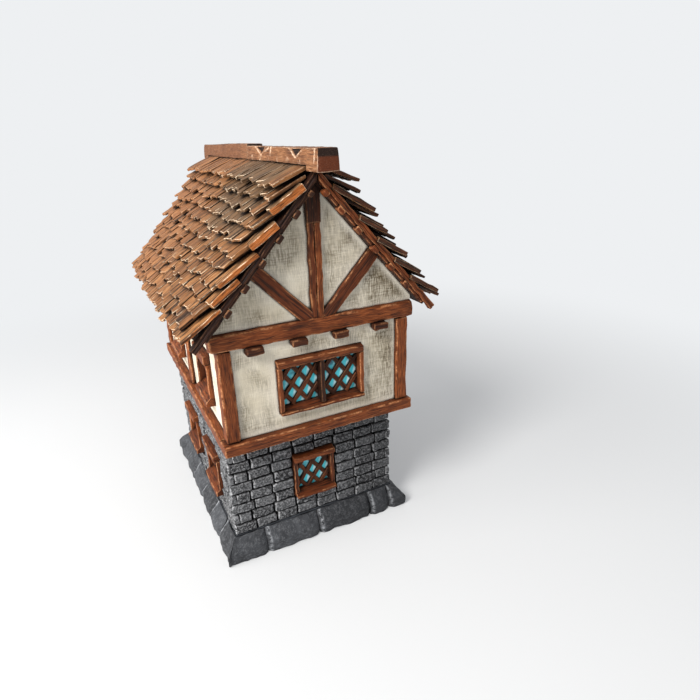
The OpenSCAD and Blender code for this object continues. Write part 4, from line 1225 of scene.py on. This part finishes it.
# %% Planks, frame, step and floor boards
beams("door_planks", timber, "door", "timber", 111, "door_leaf", radius=0.25, rough=0.05)
low, high = box_mm("door_frame")
HEAD, POST, POST_BACK = 3.0, 2.2, 1.6
foot_of_head = high[2] - HEAD
heap = Heap(112)
lay_beam(heap, np.array([low[0], low[1], foot_of_head]), high, 0.45)
for y in (low[1], high[1] - POST):
    lay_beam(heap, np.array([low[0], y, low[2]]),
             np.array([high[0] - POST_BACK, y + POST, foot_of_head]), 0.4)
heap.make("door_frame_carved", timber, "ground_floor", "timber", "door_frame")
heap = Heap(113)
low, high = box_mm("door_step")
heap.lay(high - low, (low + high) / 2, radius=0.8, steps=(5, 12, 5), along=1, rough=0.14, reach=6)
heap.make("worn_door_step", slab, "ground_floor", "slab", "door_step")
for seed, body, node in ((114, "ground_floor", "ground_floor_boards"),
                         (115, "upper_storey", "upper_floor_boards")):
    beams(node.replace("_floor", ""), floor_wood, body, "floor_wood", seed, node, radius=0.25)

# %% [markdown]
# ## What keeps the shape of the frame
# The plaster panels, the decks, the panels behind the stones and the iron need no new shape.
# They get their paint, and a narrow bevel, so that no edge is sharper than a brush could reach.

# %% Paint the solids that stay
SOFT, SOFT_IRON = 0.2, 0.08
KEPT = {
    plaster: ("front_plaster", "back_plaster", "left_plaster", "right_plaster", "gable_panels"),
    joint: ("front_stone_wall", "back_stone_wall", "left_stone_wall", "right_stone_wall"),
    slab_placed: ("base_plate",),
    timber_placed: ("roof_plates", "ridge_beam", "ridge_board"),
    roof_placed: ("left_roof_deck", "right_roof_deck"),
    floor_placed: ("upper_floor", "floor_locators", "roof_locators"),
    iron: ("door_pintles", "door_straps", "door_handle"),
}
for finish, nodes in KEPT.items():
    for node in nodes:
        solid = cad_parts[node]
        solid.data.materials.clear()
        solid.data.materials.append(finish)
        bevel = solid.modifiers.new("soft edges", "BEVEL")
        bevel.width = (SOFT_IRON if finish is iron else SOFT) * MM
        bevel.segments = 2
        bevel.limit_method = "ANGLE"
print("nodes that keep their shape:", sum(len(nodes) for nodes in KEPT.values()))

# %% [markdown]
# ## The studio
# The house stands on a plain white floor. A soft lamp at the upper left gives the shapes their
# shadows, a weaker one low on the left reaches under the eaves, and the white world fills the
# rest. What the camera sees of the far floor and of the world is the same pale grey, also in a
# mirror or through glass, while all other light comes from the dimmer fill.

# %% Floor and world
BACKDROP = paint_colour(238, 240, 242)
FLOOR_HALF, FADE_FROM, FADE_TO = 3.0, 110.0, 330.0


def seen_directly(nodes):
    """1 for rays from the camera, a mirror or glass, and 0 for all other light."""
    seen = 0.0
    for ray in ("Camera", "Glossy", "Transmission"):
        seen = nodes.math("ADD", seen, nodes.node("LightPath", {}, f"Is {ray} Ray"), clamp=True)
    return seen


mesh = bpy.data.meshes.new("floor")
corners = [(FLOOR_HALF * x, FLOOR_HALF * y, 0) for x, y in ((-1, -1), (1, -1), (1, 1), (-1, 1))]
mesh.from_pydata(corners, [], [(0, 1, 2, 3)])
floor = bpy.data.objects.new("floor", mesh)
bpy.context.collection.objects.link(floor)

paint = Paint("studio floor")
far = paint.node("VectorMath", {0: paint.in_place()}, "Value", operation="LENGTH")
white = (far.ease(FADE_FROM, FADE_TO) * 0.75 + 0.25) * seen_directly(paint)
matt = paint.node("BsdfDiffuse", {"Color": (0.86, 0.87, 0.88, 1)})
glow = paint.node("Emission", {"Color": BACKDROP, "Strength": 1.0})
paint.node("OutputMaterial", {"Surface": paint.node("MixShader", {0: white, 1: matt, 2: glow})})
floor.data.materials.append(paint.material)

world = bpy.data.worlds.new("studio")
bpy.context.scene.world = world
world.use_nodes = True
sky = Nodes(world.node_tree)
fill = sky.node("Background", {"Color": (0.97, 0.98, 1.0, 1), "Strength": 0.42})
pale = sky.node("Background", {"Color": BACKDROP, "Strength": 1.0})
either = sky.node("MixShader", {0: seen_directly(sky), 1: fill, 2: pale})
sky.node("OutputWorld", {"Surface": either})
print("studio:", floor.name, "of", 2 * FLOOR_HALF, "m and the world", world.name)

# %% [markdown]
# ## Lamps and camera
# Both lamps are warm discs that point at the upper storey. The camera is a wide lens held close
# and above, looking down at the front left corner. It starts by looking straight down, and three
# turns aim it: from +Y towards +X, up, and about its own line of sight.

# %% Light the house and look at it
AIM, WARM = Vector((0, -0.01, 0.06)), (1.0, 0.98, 0.95)
LAMPS = {"key lamp": ((-0.40, -0.25, 0.43), 0.24, 3.5),
         "side lamp": ((-0.55, 0.04, 0.14), 0.3, 2.0)}
LENS_PIXELS, PICTURE_WIDTH, SENSOR_WIDTH = 534.14, 700, 36
CAMERA_PLACE, YAW, PITCH_UP, ROLL = (-56.17, -178.29, 129.13), 26.516, -22.228, -1.695

for name, (place, size, power) in LAMPS.items():
    data = bpy.data.lights.new(name, "AREA")
    data.shape, data.size, data.energy, data.color = "DISK", size, power, WARM
    lamp = bpy.data.objects.new(name, data)
    lamp.location = place
    lamp.rotation_euler = (AIM - Vector(place)).to_track_quat("-Z", "Y").to_euler()
    bpy.context.collection.objects.link(lamp)


data = bpy.data.cameras.new("camera")
data.sensor_width = SENSOR_WIDTH
data.lens = LENS_PIXELS / PICTURE_WIDTH * SENSOR_WIDTH
data.clip_start = 0.005
camera = bpy.data.objects.new("camera", data)
camera.matrix_world = Matrix.Translation(Vector(CAMERA_PLACE) * MM)
for degrees, axis in ((-YAW, "Z"), (90 + PITCH_UP, "X"), (ROLL, "Z")):
    camera.matrix_world @= Matrix.Rotation(math.radians(degrees), 4, axis)
bpy.context.collection.objects.link(camera)
bpy.context.scene.camera = camera
bpy.context.scene.view_settings.view_transform = "Standard"
print("camera lens:", round(data.lens, 2), "mm")

# %% [markdown]
# ## Measuring the result
# The dressed house has to stay inside the solids' own box, apart from a little paint and wear.
# Both boxes are written down, and the frame then checks every piece.

# %% Bring the scene up to date
bpy.context.view_layer.update()
